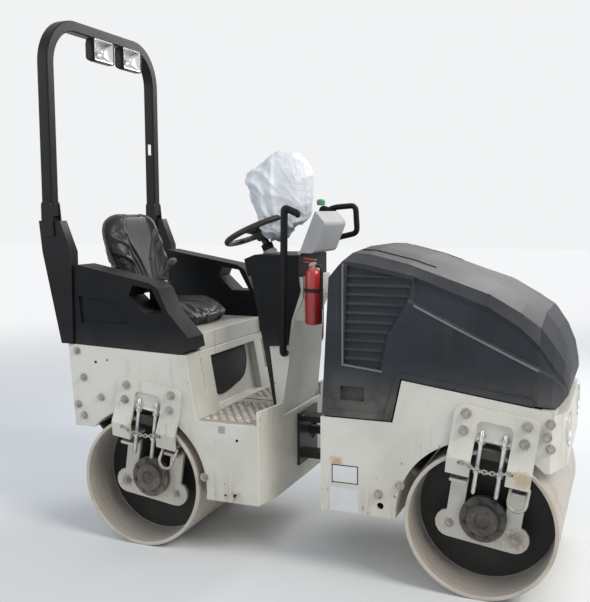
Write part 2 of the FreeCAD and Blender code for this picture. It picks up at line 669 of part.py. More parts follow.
def front_frame():
    x = front_drum_x
    wall = s.frame_wall
    gap = s.seam_gap
    crown = s.drum_radius + arch_radius + wall
    points = [
        (x - s.front_rear_end, s.front_belly), (x - s.front_rear_end, s.lip_low - gap),
        (x - s.lip_low_back + gap, s.lip_low - gap), (x - s.lip_step_back + gap, s.lip_high - gap),
        (x + s.nose_ahead, s.lip_nose - gap), (x + s.nose_foot_ahead, s.nose_foot_height),
        (x, s.nose_foot_height), (x - s.front_box_heel + 40, s.front_belly)]
    body = slab("front_frame", "XZ_Plane", points, -half_frame, half_frame)
    nose = [
        (x + s.nose_foot_ahead - 2 * wall, -half_frame), (x + s.nose_ahead - wall, -half_frame),
        (x + s.nose_reach, -s.nose_flat / 2), (x + s.nose_reach, s.nose_flat / 2),
        (x + s.nose_ahead - wall, half_frame), (x + s.nose_foot_ahead - 2 * wall, half_frame)]
    extrude(body, outline_sketch(body, "XY_Plane", nose, s.nose_foot_height),
            s.nose_top - s.nose_foot_height)
    cut_circles(body, "XZ_Plane", [((x, s.drum_radius), arch_radius)],
                -half_frame - 1, half_frame + 1)
    bay = [
        (x - s.front_rear_end + wall, s.lip_high), (x - s.front_rear_end + wall,
                                                    s.front_belly + wall),
        (x - arch_radius - 2 * wall, s.front_belly + wall), (x - arch_radius - 2 * wall, crown),
        (x + s.nose_ahead - 4 * wall, crown), (x + s.nose_ahead - 4 * wall, s.lip_high)]
    cut_outline(body, "XZ_Plane", bay, -half_frame + wall, half_frame - wall)
    cut_circles(body, "XZ_Plane", [((x - s.lashing_back, s.lashing_height), s.lashing_radius)],
                -half_frame - 1, half_frame + 1)
    hinge_x, hinge_z = x + s.hood_hinge_ahead, s.hood_hinge_height
    for side in (1, -1):
        near, far = s.hood_ear_offset, s.hood_ear_offset + s.ear_wall
        low, high = (near, far) if side > 0 else (-far, -near)
        extrude(body, outline_sketch(body, "XZ_Plane", [
            (hinge_x - 34, s.nose_foot_height + 40), (hinge_x - 14, hinge_z + 12),
            (hinge_x + 14, hinge_z + 12), (hinge_x + 14, hinge_z - 6),
            (hinge_x - 8, hinge_z - 34), (hinge_x - 8, s.nose_foot_height + 40)], -as_size(high)),
            s.ear_wall)
        pin_high = far + s.ear_wall + 4
        low, high = (near, pin_high) if side > 0 else (-pin_high, -near)
        extrude(body, circles_sketch(body, "XZ_Plane", [((hinge_x, hinge_z), s.hood_pin)],
                                     -as_size(high)), pin_high - near)
    lamp = s.lamp_spacing / 2
    cut_circles(body, "YZ_Plane", [((-lamp, s.lamp_height), s.lamp_radius),
                                   ((lamp, s.lamp_height), s.lamp_radius)],
                x + s.nose_reach - s.lamp_depth, x + s.nose_reach + 1)
    return keep(body, "front_frame")


# A bent plate on the frame's side, its two legs outside the drum's rim, with the shelves that
# reach into the drum. Drawn on the drum axis, then leaned and moved there.
def carrier(name, side, x):
    body = new_body(name)
    face = half_frame
    out = face + s.carrier_wall
    section = [
        (face, s.carrier_top), (out, s.carrier_top), (out, s.carrier_bend),
        (out + s.carrier_bulge, s.carrier_belly), (out, s.carrier_foot),
        (face, s.carrier_foot), (face + s.carrier_bulge, s.carrier_belly),
        (face, s.carrier_bend)]
    section = [(side * a, b) for a, b in section]
    plate = extrude(body, outline_sketch(body, "YZ_Plane", section, -s.carrier_half),
                    s.carrier_half * 2)
    for half in (1, -1):
        shelf_low, shelf_high = s.slot_half + 8, s.carrier_half - 8
        deep = face - s.shelf_reach
        points = [
            (half * shelf_low, side * deep), (half * shelf_high, side * deep),
            (half * shelf_high, side * (face + 8)), (half * shelf_low, side * (face + 8))]
        extrude(body, outline_sketch(body, "XY_Plane", points, s.carrier_foot), s.shelf_wall)
    low, high = (face - 1, out + s.carrier_bulge + 1)
    if side < 0:
        low, high = -high, -low
    slot = [
        (-s.slot_half, s.carrier_foot - 1), (-s.slot_half, s.slot_top),
        (s.slot_half, s.slot_top), (s.slot_half, s.carrier_foot - 1)]
    feature = cut_outline(body, "XZ_Plane", slot, low, high)
    feature = round_edges(body, feature, "Y", slot[1:3], s.slot_corner)
    feature = round_edges(body, feature, "Y", [
        (-s.carrier_half, s.carrier_top), (s.carrier_half, s.carrier_top)], s.carrier_corner)
    place(body, x, 0, s.drum_radius, s.carrier_tilt)
    return keep(body, name)


def buffer_block(name, side, half, x):
    deep = half_frame - s.shelf_reach / 2 - 6
    top = s.carrier_foot - s.seat_play
    spot = (half * s.buffer_offset, side * deep, top - s.buffer_length + s.seat_play)
    return tilted(name, bar(name, spot, "Z", s.buffer_length - s.seat_play, s.buffer_radius, 10), x)


# Leans an item, drawn about a drum axis, as the carriers lean.
def tilted(name, item, x):
    leaned = group(name + "_leaned", item)
    place(leaned, x, 0, s.drum_radius, s.carrier_tilt)
    return leaned


def buffers(name, x):
    items = []
    for side in (1, -1):
        for half in (1, -1):
            tag = f"{name}_{'left' if side > 0 else 'right'}_{'front' if half > 0 else 'rear'}"
            items.append(buffer_block(tag, side, half, x))
    return keep(group(name, *items), name)


# The yoke: two posts under the rubber blocks and the bar with round ends below the hub.
def yoke(name, side, x):
    body = new_body(name)
    outer = half_frame - s.yoke_inset
    low, high = outer - s.yoke_wall, outer
    if side < 0:
        low, high = -high, -low
    top = s.carrier_foot - s.buffer_length - s.seat_play
    end = s.yoke_end_radius
    inner_edge = s.buffer_offset - s.yoke_post_half
    outer_edge = s.buffer_offset + s.yoke_post_half
    bar_top, bar_low = -s.yoke_drop + end, -s.yoke_drop - end
    turns = [math.radians(angle) for angle in (50, 25, 0, -25, -50, -70)]
    round_end = [(s.yoke_half + end * math.cos(turn), -s.yoke_drop + end * math.sin(turn))
                 for turn in turns]
    points = [
        (-inner_edge, top), (-inner_edge, bar_top), (inner_edge, bar_top), (inner_edge, top),
        (outer_edge, top), (outer_edge, bar_top - 6)] + round_end + [
        (s.yoke_half, bar_low), (-s.yoke_half, bar_low)] + [
        (-a, b) for a, b in reversed(round_end)] + [(-outer_edge, bar_top - 6), (-outer_edge, top)]
    start = -as_size(high)
    depth = as_size(high) - low
    extrude(body, outline_sketch(body, "XZ_Plane", points, start), depth)
    # seats of the rubber blocks on top of the posts
    seat_low = outer - s.yoke_wall
    seat_high = half_frame - s.shelf_reach / 2 - 6 + s.buffer_radius
    if side < 0:
        seat_low, seat_high = -seat_high, -seat_low
    for half in (1, -1):
        first, last = half * inner_edge, half * outer_edge
        extrude(body, outline_sketch(body, "XZ_Plane", [
            (first, top), (last, top), (last, top - 12), (first, top - 12)], -seat_high),
            seat_high - seat_low)
    cut_circles(body, "XZ_Plane", [((0, 0), s.journal_radius + s.seat_play)], low - 1, high + 1)
    place(body, x, 0, s.drum_radius, s.carrier_tilt)
    return body


# The journal in the drum's web and through the yoke, and the motor outside.
def hub(name, side, x):
    outer = half_frame - s.yoke_inset
    inside = half_frame - s.web_inset - s.web_wall + 2
    points = [
        (0, inside), (s.journal_radius, inside), (s.journal_radius, outer + s.seat_play),
        (s.hub_radius, outer + s.seat_play), (s.hub_radius, outer + s.hub_reach),
        (0, outer + s.hub_reach)]
    body = turned(name, "XY_Plane", [(a, b * side) for a, b in points])
    place(body, x, 0, s.drum_radius)
    return body


def hubs_and_yokes(unit, x):
    yokes = [yoke(f"{unit}_yoke_{tag}", side, x) for tag, side in (("left", 1), ("right", -1))]
    keep(group(f"{unit}_hub_yokes", *yokes), f"{unit}_hub_yokes")
    hubs = [hub(f"{unit}_hub_{tag}", side, x) for tag, side in (("left", 1), ("right", -1))]
    keep(group(f"{unit}_hub_motors", *hubs), f"{unit}_hub_motors")


# A bar across the drum, seated on the arch, its edge just clear of the drum's surface.
def scraper(name, x, angle):
    item = doc.addObject("Part::Box", name + "_bar")
    reach = s.arch_gap - s.scraper_play - s.seat_play
    bind(item, "Length", reach)
    bind(item, "Width", s.scraper_width)
    bind(item, "Height", s.scraper_wall)
    place(item, s.drum_radius + s.scraper_play, -s.scraper_width / 2, -s.scraper_wall / 2)
    leaned = group(name, item)
    place(leaned, x, 0, s.drum_radius, -angle)
    return keep(leaned, name)


# Fork plates on the bulkhead, and inside the box the bracket of the cylinder's barrel.
def steering_fork():
    x = s.rear_drum_x + s.bulkhead_ahead
    wall = s.rear_drum_x + arch_radius + s.frame_wall + s.seat_play
    pieces, bracket = [], []
    for tag, low in (("low", s.fork_low), ("high", s.fork_high)):
        pieces.append(box(f"fork_plate_{tag}", (x + s.seat_play, -s.fork_half, low),
                          (pivot_x, s.fork_half, low + s.fork_wall)))
        pieces.append(bar(f"fork_boss_{tag}", (pivot_x, 0, low), "Z", s.fork_wall, s.fork_half, 8))
    pieces.append(bar("fork_pin", (pivot_x, 0, s.fork_low), "Z",
                      s.fork_high + s.fork_wall - s.fork_low, s.pin_radius))
    for tag, low in (("low", s.ram_height - s.eye_radius - s.lug_wall - 1),
                     ("high", s.ram_height + s.eye_radius + 1)):
        bracket.append(box(f"ram_lug_{tag}", (wall, s.ram_offset - 16, low),
                           (pivot_x - s.ram_back + 14, s.ram_offset + 16, low + s.lug_wall)))
    bracket.append(bar("ram_pin", (pivot_x - s.ram_back, s.ram_offset,
                                   s.ram_height - s.eye_radius - s.lug_wall), "Z",
                       (s.eye_radius + s.lug_wall) * 2, s.eye_pin))
    bracket.append(box("ram_foot", (wall, s.ram_offset - 40, s.ram_height - 50),
                       (wall + 12, s.ram_offset + 40, s.ram_height + 50)))
    # flange that ties the plates and lugs to the bulkhead
    pieces.append(box("fork_flange", (x + s.seat_play, -s.fork_half - 30, s.fork_low - 30),
                      (x + 10, s.ram_offset + 60, s.fork_high + s.fork_wall + 20)))
    hole = bar("fork_ram_hole", (x - 5, s.ram_offset, s.ram_height), "X", 30, s.ram_hole, 8)
    fork = cut("fork_drilled", fuse("fork_solid", *pieces), hole)
    return keep(group("steering_fork", fork, fuse("ram_bracket", *bracket)), "steering_fork")


def knuckle():
    low = s.fork_low + s.fork_wall + 1
    high = s.fork_high - 1
    middle = (low + high) / 2
    solid = fuse(
        "knuckle_block",
        bar("knuckle_boss", (pivot_x, 0, low), "Z", high - low, s.knuckle_radius, 10),
        bar("knuckle_shaft", (pivot_x, 0, middle), "X", s.shaft_reach, s.shaft_radius))
    bore = bar("knuckle_bore", (pivot_x, 0, low - 1), "Z", high - low + 2,
               s.pin_radius + s.pin_play)
    return keep(cut("pivot_knuckle", solid, bore), "pivot_knuckle")


def rocking_bearing():
    low = s.fork_low + s.fork_wall + 1
    high = s.fork_high - 1
    middle = (low + high) / 2
    back = pivot_x + s.bearing_back
    front = front_drum_x - s.front_rear_end
    house = bar("bearing_house", (back, 0, middle), "X", front - back - s.seat_play,
                s.bearing_radius, 10)
    reach = s.bearing_radius + s.flange_margin
    flange = box("bearing_flange", (front - s.lug_wall, -reach, middle - reach - 26),
                 (front - s.seat_play, s.ram_offset + 34, middle + reach + 26))
    eye_x = pivot_x + s.ram_front
    lug_low = s.ram_height - s.eye_radius - s.rod_eye_play - s.lug_wall
    lug_high = s.ram_height + s.eye_radius + s.rod_eye_play
    lugs = [box(f"rod_lug_{tag}", (eye_x - s.eye_pin * 2, s.ram_offset - s.eye_pin * 2, level),
                (front - s.seat_play, s.ram_offset + s.eye_pin * 2, level + s.lug_wall))
            for tag, level in (("low", lug_low), ("high", lug_high))]
    pin = bar("rod_pin", (eye_x, s.ram_offset, lug_low), "Z",
              lug_high + s.lug_wall - lug_low, s.eye_pin, 6)
    bore = bar("bearing_bore", (back - 1, 0, middle), "X", front - back + 2,
               s.shaft_radius + s.pin_play)
    solid = fuse("bearing_block", house, flange, pin, *lugs)
    return keep(cut("rocking_bearing", solid, bore), "rocking_bearing")


def steering_cylinder():
    back = pivot_x - s.ram_back
    start = back + s.eye_radius + 6
    y, z = s.ram_offset, s.ram_height
    barrel = fuse(
        "barrel_solid",
        bar("barrel_eye", (back, y, z - s.eye_radius), "Z", s.eye_radius * 2, s.eye_radius, 8),
        bar("barrel_neck", (back, y, z), "X", s.eye_radius + 10, s.rod_radius, 6),
        bar("barrel_tube", (start, y, z), "X", s.ram_length, s.ram_radius, 10))
    pin_hole = bar("barrel_pin_hole", (back, y, z - 40), "Z", 80, s.eye_pin + s.pin_play)
    rod_hole = bar("barrel_rod_hole", (start + 10, y, z), "X", s.ram_length,
                   s.rod_radius + s.pin_play)
    keep(cut("steering_barrel", barrel, fuse("barrel_holes", pin_hole, rod_hole)),
         "steering_barrel")
    eye_x = pivot_x + s.ram_front
    rod_start = start + s.ram_length - s.rod_grip
    rod = fuse(
        "rod_solid",
        bar("rod_bar", (rod_start, y, z), "X", eye_x - s.rod_eye_bore - rod_start,
            s.rod_radius),
        bar("rod_eye", (eye_x, y, z - s.eye_radius), "Z", s.eye_radius * 2, s.rod_eye_radius, 10))
    hole = bar("rod_pin_hole", (eye_x, y, z - 40), "Z", 80, s.rod_eye_bore, 10)
    keep(cut("steering_rod", rod, hole), "steering_rod")


# Height of the rear frame's sloping top at a place ahead of the rear drum axis.
def deck_height(ahead):
    fall = (s.rear_deck_height - s.seat_front_height) / (s.rear_end + s.seat_front_ahead)
    return s.rear_deck_height - (ahead + s.rear_end) * fall


# Front face of the hoop's leg at a height below its widest place, ahead of the rear drum axis.
def leg_front(height):
    slope = (s.leg_foot_front - s.gusset_front) / s.gusset_rise
    return (height - s.rear_deck_height) * slope - s.leg_foot_front


def console(name, side):
    x = s.rear_drum_x
    rest = s.seat_play
    inner = half_frame - s.console_width
    rear_top, brow = s.console_top, x + s.console_brow_ahead
    if side > 0:
        rear_top = rear_top + s.console_left_lift
        brow = brow + s.console_left_shift
    top = rear_top - s.console_fall
    foot, head = leg_front(s.rear_deck_height) + 4, leg_front(rear_top) + 4
    nose, toe = x + s.console_nose_ahead, s.console_toe_ahead
    drop = s.loop_drop
    points = [
        (x + foot, deck_height(foot) + rest), (x + head, rear_top), (brow, top),
        (brow + s.loop_ahead * 0.6, top - drop * 0.18),
        (brow + s.loop_ahead * 1.32, top - drop * 0.96), (nose, s.console_nose_height),
        (nose + 10, s.console_nose_height - s.console_nose_rise + 4),
        (x + toe, deck_height(toe) + rest)]
    low, high = (inner, half_frame) if side > 0 else (-half_frame, -inner)
    body = slab(name, "XZ_Plane", points, low, high, [(s.console_corner, (1,))])
    if side < 0:
        # pedestal of the drive lever, inboard of the console
        lever, half = x + s.lever_ahead, s.boot_radius + 6
        pedestal = [
            (lever - half, s.platform_height + rest), (lever - half, s.plinth_height),
            (lever + half, s.plinth_height), (lever + half, s.platform_height + rest)]
        sketch = outline_sketch(body, "XZ_Plane", pedestal, inner - s.lever_inset * 2)
        extrude(body, sketch, s.lever_inset * 2 + 1)
    # hand loop, and the panel set into the outer side
    loop = [
        (brow - s.loop_back * 0.8, top - s.loop_wall * 0.4),
        (brow + s.loop_ahead * 0.12, top - s.loop_wall), (brow + s.loop_ahead, top - drop),
        (brow - s.loop_ahead * 0.45, top - drop), (brow - s.loop_back, top - drop * 0.46)]
    panel = [(x + ahead, s.rear_deck_height + rise) for ahead, rise in CONSOLE_PANEL]
    if side > 0:
        cut_outline(body, "XZ_Plane", loop, inner - 1, half_frame + 1)
        cut_outline(body, "XZ_Plane", panel, half_frame - s.panel_inset, half_frame + 1)
    else:
        cut_outline(body, "XZ_Plane", loop, -half_frame - 1, -inner)
        cut_outline(body, "XZ_Plane", panel, -half_frame - 1, -half_frame + s.panel_inset)
    return keep(body, name)


def seat():
    x = s.rear_drum_x
    rest = s.seat_play
    rear = leg_front(s.rear_deck_height) + 4
    front = s.seat_front_ahead
    platform = [
        (x + rear, deck_height(rear) + rest), (x + rear, s.platform_height),
        (x + front, s.platform_height), (x + front, deck_height(front) + rest)]
    side = half_frame - s.console_width - 2
    keep(slab("seat_platform", "XZ_Plane", platform, -side, side), "seat_platform")
    cushion = [
        (x - s.cushion_back, s.platform_height + rest), (x - s.cushion_back, s.cushion_height),
        (x + s.cushion_ahead, s.cushion_height - 8),
        (x + s.cushion_ahead, s.platform_height + rest)]
    keep(slab("seat_cushion", "XZ_Plane", cushion, -s.cushion_half, s.cushion_half,
              [(30, (1, 2))]), "seat_cushion")
    foot = x - s.back_foot_back
    back = [
        (foot, s.cushion_height + rest), (foot - s.back_lean, s.back_top),
        (foot - s.back_lean - s.back_wall, s.back_top - 12),
        (foot - s.back_wall, s.cushion_height + rest)]
    keep(slab("seat_back", "XZ_Plane", back, -s.back_half, s.back_half, [(30, (1, 2))]),
         "seat_back")


def drive_lever():
    x = s.rear_drum_x + s.lever_ahead
    y = -half_frame + s.console_width + s.lever_inset
    foot = s.plinth_height + s.seat_play
    boot = bar("lever_boot", (x, y, foot), "Z", s.boot_rise, s.boot_radius, 8)
    grip = s.lever_length - s.knob_radius * 2
    stick = fuse("lever_stick", bar("lever_stem", (0, 0, 10), "Z", grip, s.lever_radius, 6),
                 bar("lever_knob", (0, 0, grip), "Z", s.knob_radius * 2, s.knob_radius, 8))
    leaned = group("lever_leaned", stick)
    place(leaned, x, y, foot, s.lever_lean)
    return keep(fuse("drive_lever", boot, leaned), "drive_lever")


def hoop_legs():
    legs = []
    x = s.rear_drum_x
    for tag, side in (("right", -1), ("left", 1)):
        outer = s.hoop_width / 2
        inner = outer - s.tube_wide
        low, high = (inner, outer) if side > 0 else (-outer, -inner)
        top = s.hinge_height - s.hinge_clear
        foot_height = s.rear_deck_height + s.seat_play
        widest = s.rear_deck_height + s.gusset_rise
        points = [
            (x - s.leg_foot_back, foot_height), (x - s.gusset_back, widest),
            (x - s.leg_head_back, top), (x - s.leg_head_front, top),
            (x - s.gusset_front, widest), (x - s.leg_foot_front, foot_height)]
        leg = slab(f"hoop_leg_{tag}", "XZ_Plane", points, low, high)
        plates = []
        for name, near, far in (
                ("in", inner - s.clevis_wall, inner), ("out", outer, outer + s.clevis_wall)):
            plate_low, plate_high = (near, far) if side > 0 else (-far, -near)
            hinge_x = x - s.hoop_back
            plates.append(slab(f"clevis_{tag}_{name}", "XZ_Plane", [
                (hinge_x - 26, top - s.clevis_root), (hinge_x - 26, s.hinge_height + 26),
                (hinge_x + 26, s.hinge_height + 26), (hinge_x + 40, top - s.clevis_root)],
                plate_low, plate_high, [(20, (1, 2))]))
        pin = bar(f"hoop_pin_{tag}", (x - s.hoop_back, low - s.clevis_wall, s.hinge_height), "Y",
                  s.tube_wide + 2 * s.clevis_wall, s.hinge_pin)
        legs.append(fuse(f"leg_{tag}", leg, pin, *plates))
    return keep(group("hoop_legs", *legs), "hoop_legs")


def hoop():
    body = new_body("hoop")
    x = s.rear_drum_x - s.hoop_back
    outer = s.hoop_width / 2 - 0.5
    inner = outer - s.tube_wide + 1
    foot = s.hinge_height - s.hinge_clear + 16
    rear = x - s.tube_deep / 2
    points = [
        (-outer, foot), (-outer, s.hoop_top), (outer, s.hoop_top), (outer, foot),
        (inner, foot), (inner, s.hoop_top - s.tube_wide), (-inner, s.hoop_top - s.tube_wide),
        (-inner, foot)]
    feature = extrude(body, outline_sketch(body, "YZ_Plane", points, rear), s.tube_deep)
    feature = round_edges(body, feature, "X", points[1:3], s.hoop_corner)
    feature = round_edges(body, feature, "X", points[5:7], s.hoop_corner - s.tube_wide)
    cut_circles(body, "XZ_Plane", [((x, s.hinge_height), s.hinge_pin + s.pin_play)],
                -outer - 1, outer + 1)
    return keep(body, "hoop")


def work_lamps():
    x = s.rear_drum_x - s.hoop_back + s.tube_deep / 2
    top = s.hoop_top - s.tube_wide - s.work_lamp_drop
    lamps = []
    for tag, side in (("right", -1), ("left", 1)):
        middle = side * s.work_lamp_offset
        half = s.work_lamp_wide / 2
        case = box(f"lamp_case_{tag}", (x, middle - half, top - s.work_lamp_high),
                   (x + s.work_lamp_deep, middle + half, top))
        foot = box(f"lamp_foot_{tag}", (x - 30, middle - 12, top - 14),
                   (x + 20, middle + 12, s.hoop_top - s.tube_wide - s.seat_play))
        lamps.append(fuse(f"lamp_{tag}", case, foot))
    return keep(group("work_lamps", *lamps), "work_lamps")


# The column's half width at a height: its sides lean in towards the dash.
def column_half(height):
    lean = (s.column_foot_half - s.column_head_half) / s.column_rise
    return s.column_foot_half - (height - s.floor_height) * lean


# Cuts a body's sides along the leaning planes of the column, a margin outside them.
def lean_sides(body, low, high, margin, rear, front):
    for side in (1, -1):
        cut_outline(body, "YZ_Plane", [
            (side * (column_half(low) + margin), low), (side * (column_half(high) + margin), high),
            (side * (s.column_foot_half + 60), high), (side * (s.column_foot_half + 60), low)],
            rear, front)





def steering_column():
    x = s.rear_drum_x
    rest = s.seat_play
    floor, top = s.floor_height, s.column_top
    chest = floor + s.column_chest_rise
    body = slab("column_shell", "XZ_Plane", [
        (x + s.column_foot_ahead + s.column_cover_foot + rest, floor + rest),
        (x + s.column_foot_front, floor + rest),
        (x + s.column_knee_front, floor + s.column_knee_rise),
        (x + s.column_hip_front, floor + s.column_hip_rise),
        (x + s.column_head_front, chest), (x + s.column_head_front, top),
        (x + s.column_head_ahead + s.column_cover_head + rest, top)],
        -s.column_foot_half, s.column_foot_half)
    rear, front = x + s.column_head_ahead - 60, x + s.column_head_front + 40
    lean_sides(body, floor, top, as_size(0), rear, front)
    edge = column_half(s.bottle_high) - 2
    plate = box("bottle_plate", (x + s.column_hip_front - 10, -edge, s.bottle_low + 15),
                (x + s.bottle_ahead - s.bottle_radius - rest, -edge + 32, s.bottle_high - 40))
    return keep(fuse("steering_column_body", body, plate), "steering_column")


# The dash with the column's black trim: the cover of its rear edge and a panel on each side.
def dash_panel():
    x = s.rear_drum_x
    rise = s.seat_play
    floor, top = s.floor_height, s.column_top
    rear, front = x + s.column_head_ahead - 60, x + s.column_head_front + 40
    side_panel = s.column_panel_wall
    dash = slab("dash_block", "XZ_Plane", [
        (x + s.column_head_ahead - 14, top + rise), (x + s.column_head_ahead - 30, s.dash_top - 20),
        (x + s.column_head_ahead + 20, s.dash_top), (x + s.dash_front, s.dash_top),
        (x + s.dash_front, top + rise)],
        -s.column_head_half - 6, s.column_head_half + 6)
    cover = slab("column_cover", "XZ_Plane", [
        (x + s.column_foot_ahead, floor + rise), (x + s.column_head_ahead, top),
        (x + s.column_head_ahead, top + 4), (x + s.column_head_ahead + s.column_cover_head, top + 4),
        (x + s.column_head_ahead + s.column_cover_head, top),
        (x + s.column_foot_ahead + s.column_cover_foot, floor + rise)],
        -s.column_foot_half, s.column_foot_half)
    lean_sides(cover, floor, top, as_size(0), rear, front)
    lean_sides(cover, top, top + 5, as_size(0), rear, front)
    panels = []
    for tag, side in (("right", -1), ("left", 1)):
        near, far = s.column_head_half - 20, s.column_foot_half + 30
        low, high = (near, far) if side > 0 else (-far, -near)
        panel = slab(f"column_panel_{tag}", "XZ_Plane", [
            (x + ahead, floor + above) for ahead, above in COLUMN_PANEL], low, high)
        bottom, brim = floor + 200, s.dash_top
        outer = column_half(bottom) + side_panel, column_half(brim) + side_panel
        inner = column_half(bottom) + rise * 2, column_half(brim) + rise * 2
        for (first, last), edge in ((outer, far + 20), (inner, near - 20)):
            cut_outline(panel, "YZ_Plane", [
                (side * first, bottom), (side * last, brim), (side * edge, brim),
                (side * edge, bottom)], rear, front)
        panels.append(panel)
    socket = bar("dash_socket", (0, 0, -s.wheel_reach), "Z", s.socket_length, s.socket_radius)
    bore = bar("dash_bore", (0, 0, -s.wheel_reach), "Z", s.socket_length + 5,
               s.wheel_shaft + s.pin_play)
    leaned = []
    for item in (socket, bore):
        leaned.append(group(item.Name + "_leaned", item))
        place(leaned[-1], x + s.wheel_ahead, 0, s.wheel_height, -s.wheel_tilt)
    solid = fuse("dash_solid", dash, cover, *panels, leaned[0])
    return keep(cut("dash_bored", solid, leaned[1]), "dash_panel")


def steering_wheel():
    turns = [math.radians(60 * number + 30) for number in range(6)]
    rim = turned("wheel_rim_ring", "XZ_Plane", [
        (s.wheel_radius + s.wheel_rim * math.cos(turn), s.wheel_rim * math.sin(turn))
        for turn in turns])
    pieces = [rim, bar("wheel_hub_disc", (0, 0, -s.wheel_hub_high / 2), "Z",
                       s.wheel_hub_high, s.wheel_hub, 10)]
    for number, angle in enumerate((30, 150, 270)):
        spoke = doc.addObject("Part::Box", f"wheel_spoke_{number}")
        bind(spoke, "Length", s.wheel_radius)
        bind(spoke, "Width", s.spoke_wide)
        bind(spoke, "Height", s.spoke_wall)
        place(spoke, 0, -s.spoke_wide / 2, -s.spoke_wall / 2)
        arm = group(f"wheel_arm_{number}", spoke)
        arm.Placement = FreeCAD.Placement(
            FreeCAD.Vector(0, 0, 0), FreeCAD.Rotation(FreeCAD.Vector(0, 0, 1), angle))
        pieces.append(arm)
    pieces.append(bar("wheel_shaft_bar", (0, 0, -s.wheel_reach + 2), "Z", s.wheel_reach,
                      s.wheel_shaft))
    pieces.append(bar("wheel_spinner", (0, s.wheel_radius, 0), "Z", s.spinner_high,
                      s.spinner_radius, 8))
    solid = fuse("wheel_solid", *pieces)
    leaned = group("steering_wheel", solid)
    place(leaned, s.rear_drum_x + s.wheel_ahead, 0, s.wheel_height, -s.wheel_tilt)
    return keep(leaned, "steering_wheel")


# Hand rails each side of the column: out of its side, up, and a short forward return at the top.
def hand_rails():
    x = s.rear_drum_x
    radius = s.rail_radius.value
    rails = []
    for tag, side in (("right", -1), ("left", 1)):
        foot = s.rail_foot.value
        root = column_half(s.rail_foot - s.rail_radius).value + s.seat_play.value
        y = side * s.rail_offset.value
        ahead = (x + s.rail_foot_ahead).value
        top = FreeCAD.Vector((x + s.rail_ahead).value, y, s.rail_top.value - radius)
        points = [
            FreeCAD.Vector(ahead, side * root, foot), FreeCAD.Vector(ahead, y, foot), top,
            top + FreeCAD.Vector(s.rail_return.value, 0, -s.rail_dip.value)]
        path = Part.makePolygon(eased(points, s.rail_bend.value))
        ring = [points[0] + FreeCAD.Vector(radius * math.cos(turn), 0, radius * math.sin(turn))
                for turn in (math.radians(45 * number + 22.5) for number in range(8))]
        profile = Part.makePolygon(ring + [ring[0]])
        item = doc.addObject("Part::Feature", f"rail_{tag}")
        item.Shape = path.makePipeShell([profile], True, False, 1)
        rails.append(item)
    return keep(group("hand_rails", *rails), "hand_rails")


# Cuts each corner of a route with a short run.
def eased(points, reach):
    path = [points[0]]
    for before, corner, after in zip(points, points[1:], points[2:]):
        path.append(corner + (before - corner).normalize() * reach)
        path.append(corner + (after - corner).normalize() * reach)
    return path + [points[-1]]


# Straight runs joined by tangent arcs of one radius.
def rounded_wire(points, radius):
    edges = []
    start = points[0]
    for number in range(1, len(points) - 1):
        corner = points[number]
        back = (points[number - 1] - corner).normalize()
        ahead = (points[number + 1] - corner).normalize()
        half = back.getAngle(ahead) / 2
        reach = radius / math.tan(half)
        first, last = corner + back * reach, corner + ahead * reach
        middle = (back + ahead).normalize()
        centre = corner + middle * (radius / math.sin(half))
        edges.append(Part.LineSegment(start, first).toShape())
        edges.append(Part.Arc(first, centre - middle * radius, last).toShape())
        start = last
    edges.append(Part.LineSegment(start, points[-1]).toShape())
    return Part.Wire(edges)


# The cover: an open tray, drawn closed over the dash behind its hinge, then swung open.
def dash_cover():
    length, depth, wall = s.cover_length, s.cover_depth, s.cover_wall
    body = slab("cover_shell", "XZ_Plane", [
        (-length, 0), (-length + 30, depth), (-24, depth), (0, 0)],
        -s.cover_half, s.cover_half, [(24, (1, 2))])
    cut_outline(body, "XZ_Plane", [
        (-length + wall * 1.5, -1), (-length + 30 + wall, depth - wall),
        (-24 - wall, depth - wall), (-wall * 2, -1)],
        -s.cover_half + wall, s.cover_half - wall)
    tube = bar("cover_tube", (0, -s.cover_half, 0), "Y", s.cover_half * 2, s.cover_pin)
    leaned = group("dash_cover", fuse("cover_solid", body, tube))
    place(leaned, s.rear_drum_x + s.cover_hinge_ahead, 0,
          s.dash_top + s.cover_pin + s.seat_play, s.cover_open)
    return keep(leaned, "dash_cover")


def dash_bag():
    x = s.rear_drum_x + s.bag_ahead
    foot = s.dash_top + s.seat_play
    front = s.bag_neck
    side = [
        (x - front / 2, foot), (x + front / 2, foot), (x + front / 2, s.bag_top - 150),
        (x - 30, s.bag_top - 30), (x - s.bag_reach * 0.5, s.bag_top),
        (x - s.bag_reach * 0.9, s.bag_top - 60), (x - s.bag_reach, s.bag_top - 190),
        (x - s.bag_reach * 0.94, s.bag_tail), (x - s.bag_reach * 0.25, s.bag_brow),
        (x - front / 2, s.bag_brow - 20)]
    return keep(slab("dash_bag", "XZ_Plane", side, -s.bag_half, s.bag_half,
                     [(45, (3, 5))]), "dash_bag")


def extinguisher():
    tall, radius = s.bottle_length, s.bottle_radius
    body = turned("extinguisher", "XZ_Plane", [
        (0, 0), (radius, 0), (radius, tall), (radius * 0.42, tall + s.bottle_dome),
        (0, tall + s.bottle_dome)])
    place(body, s.rear_drum_x + s.bottle_ahead, -s.bottle_offset, s.bottle_low)
    return keep(body, "extinguisher")


def engine_block():
    x = front_drum_x - s.engine_rear
    half = s.engine_wide / 2
    floor = s.drum_radius + arch_radius + s.frame_wall + s.seat_play
    return keep(box("engine_block", (x, -half, floor),
                    (x + s.engine_long, half, s.engine_high)), "engine_block")


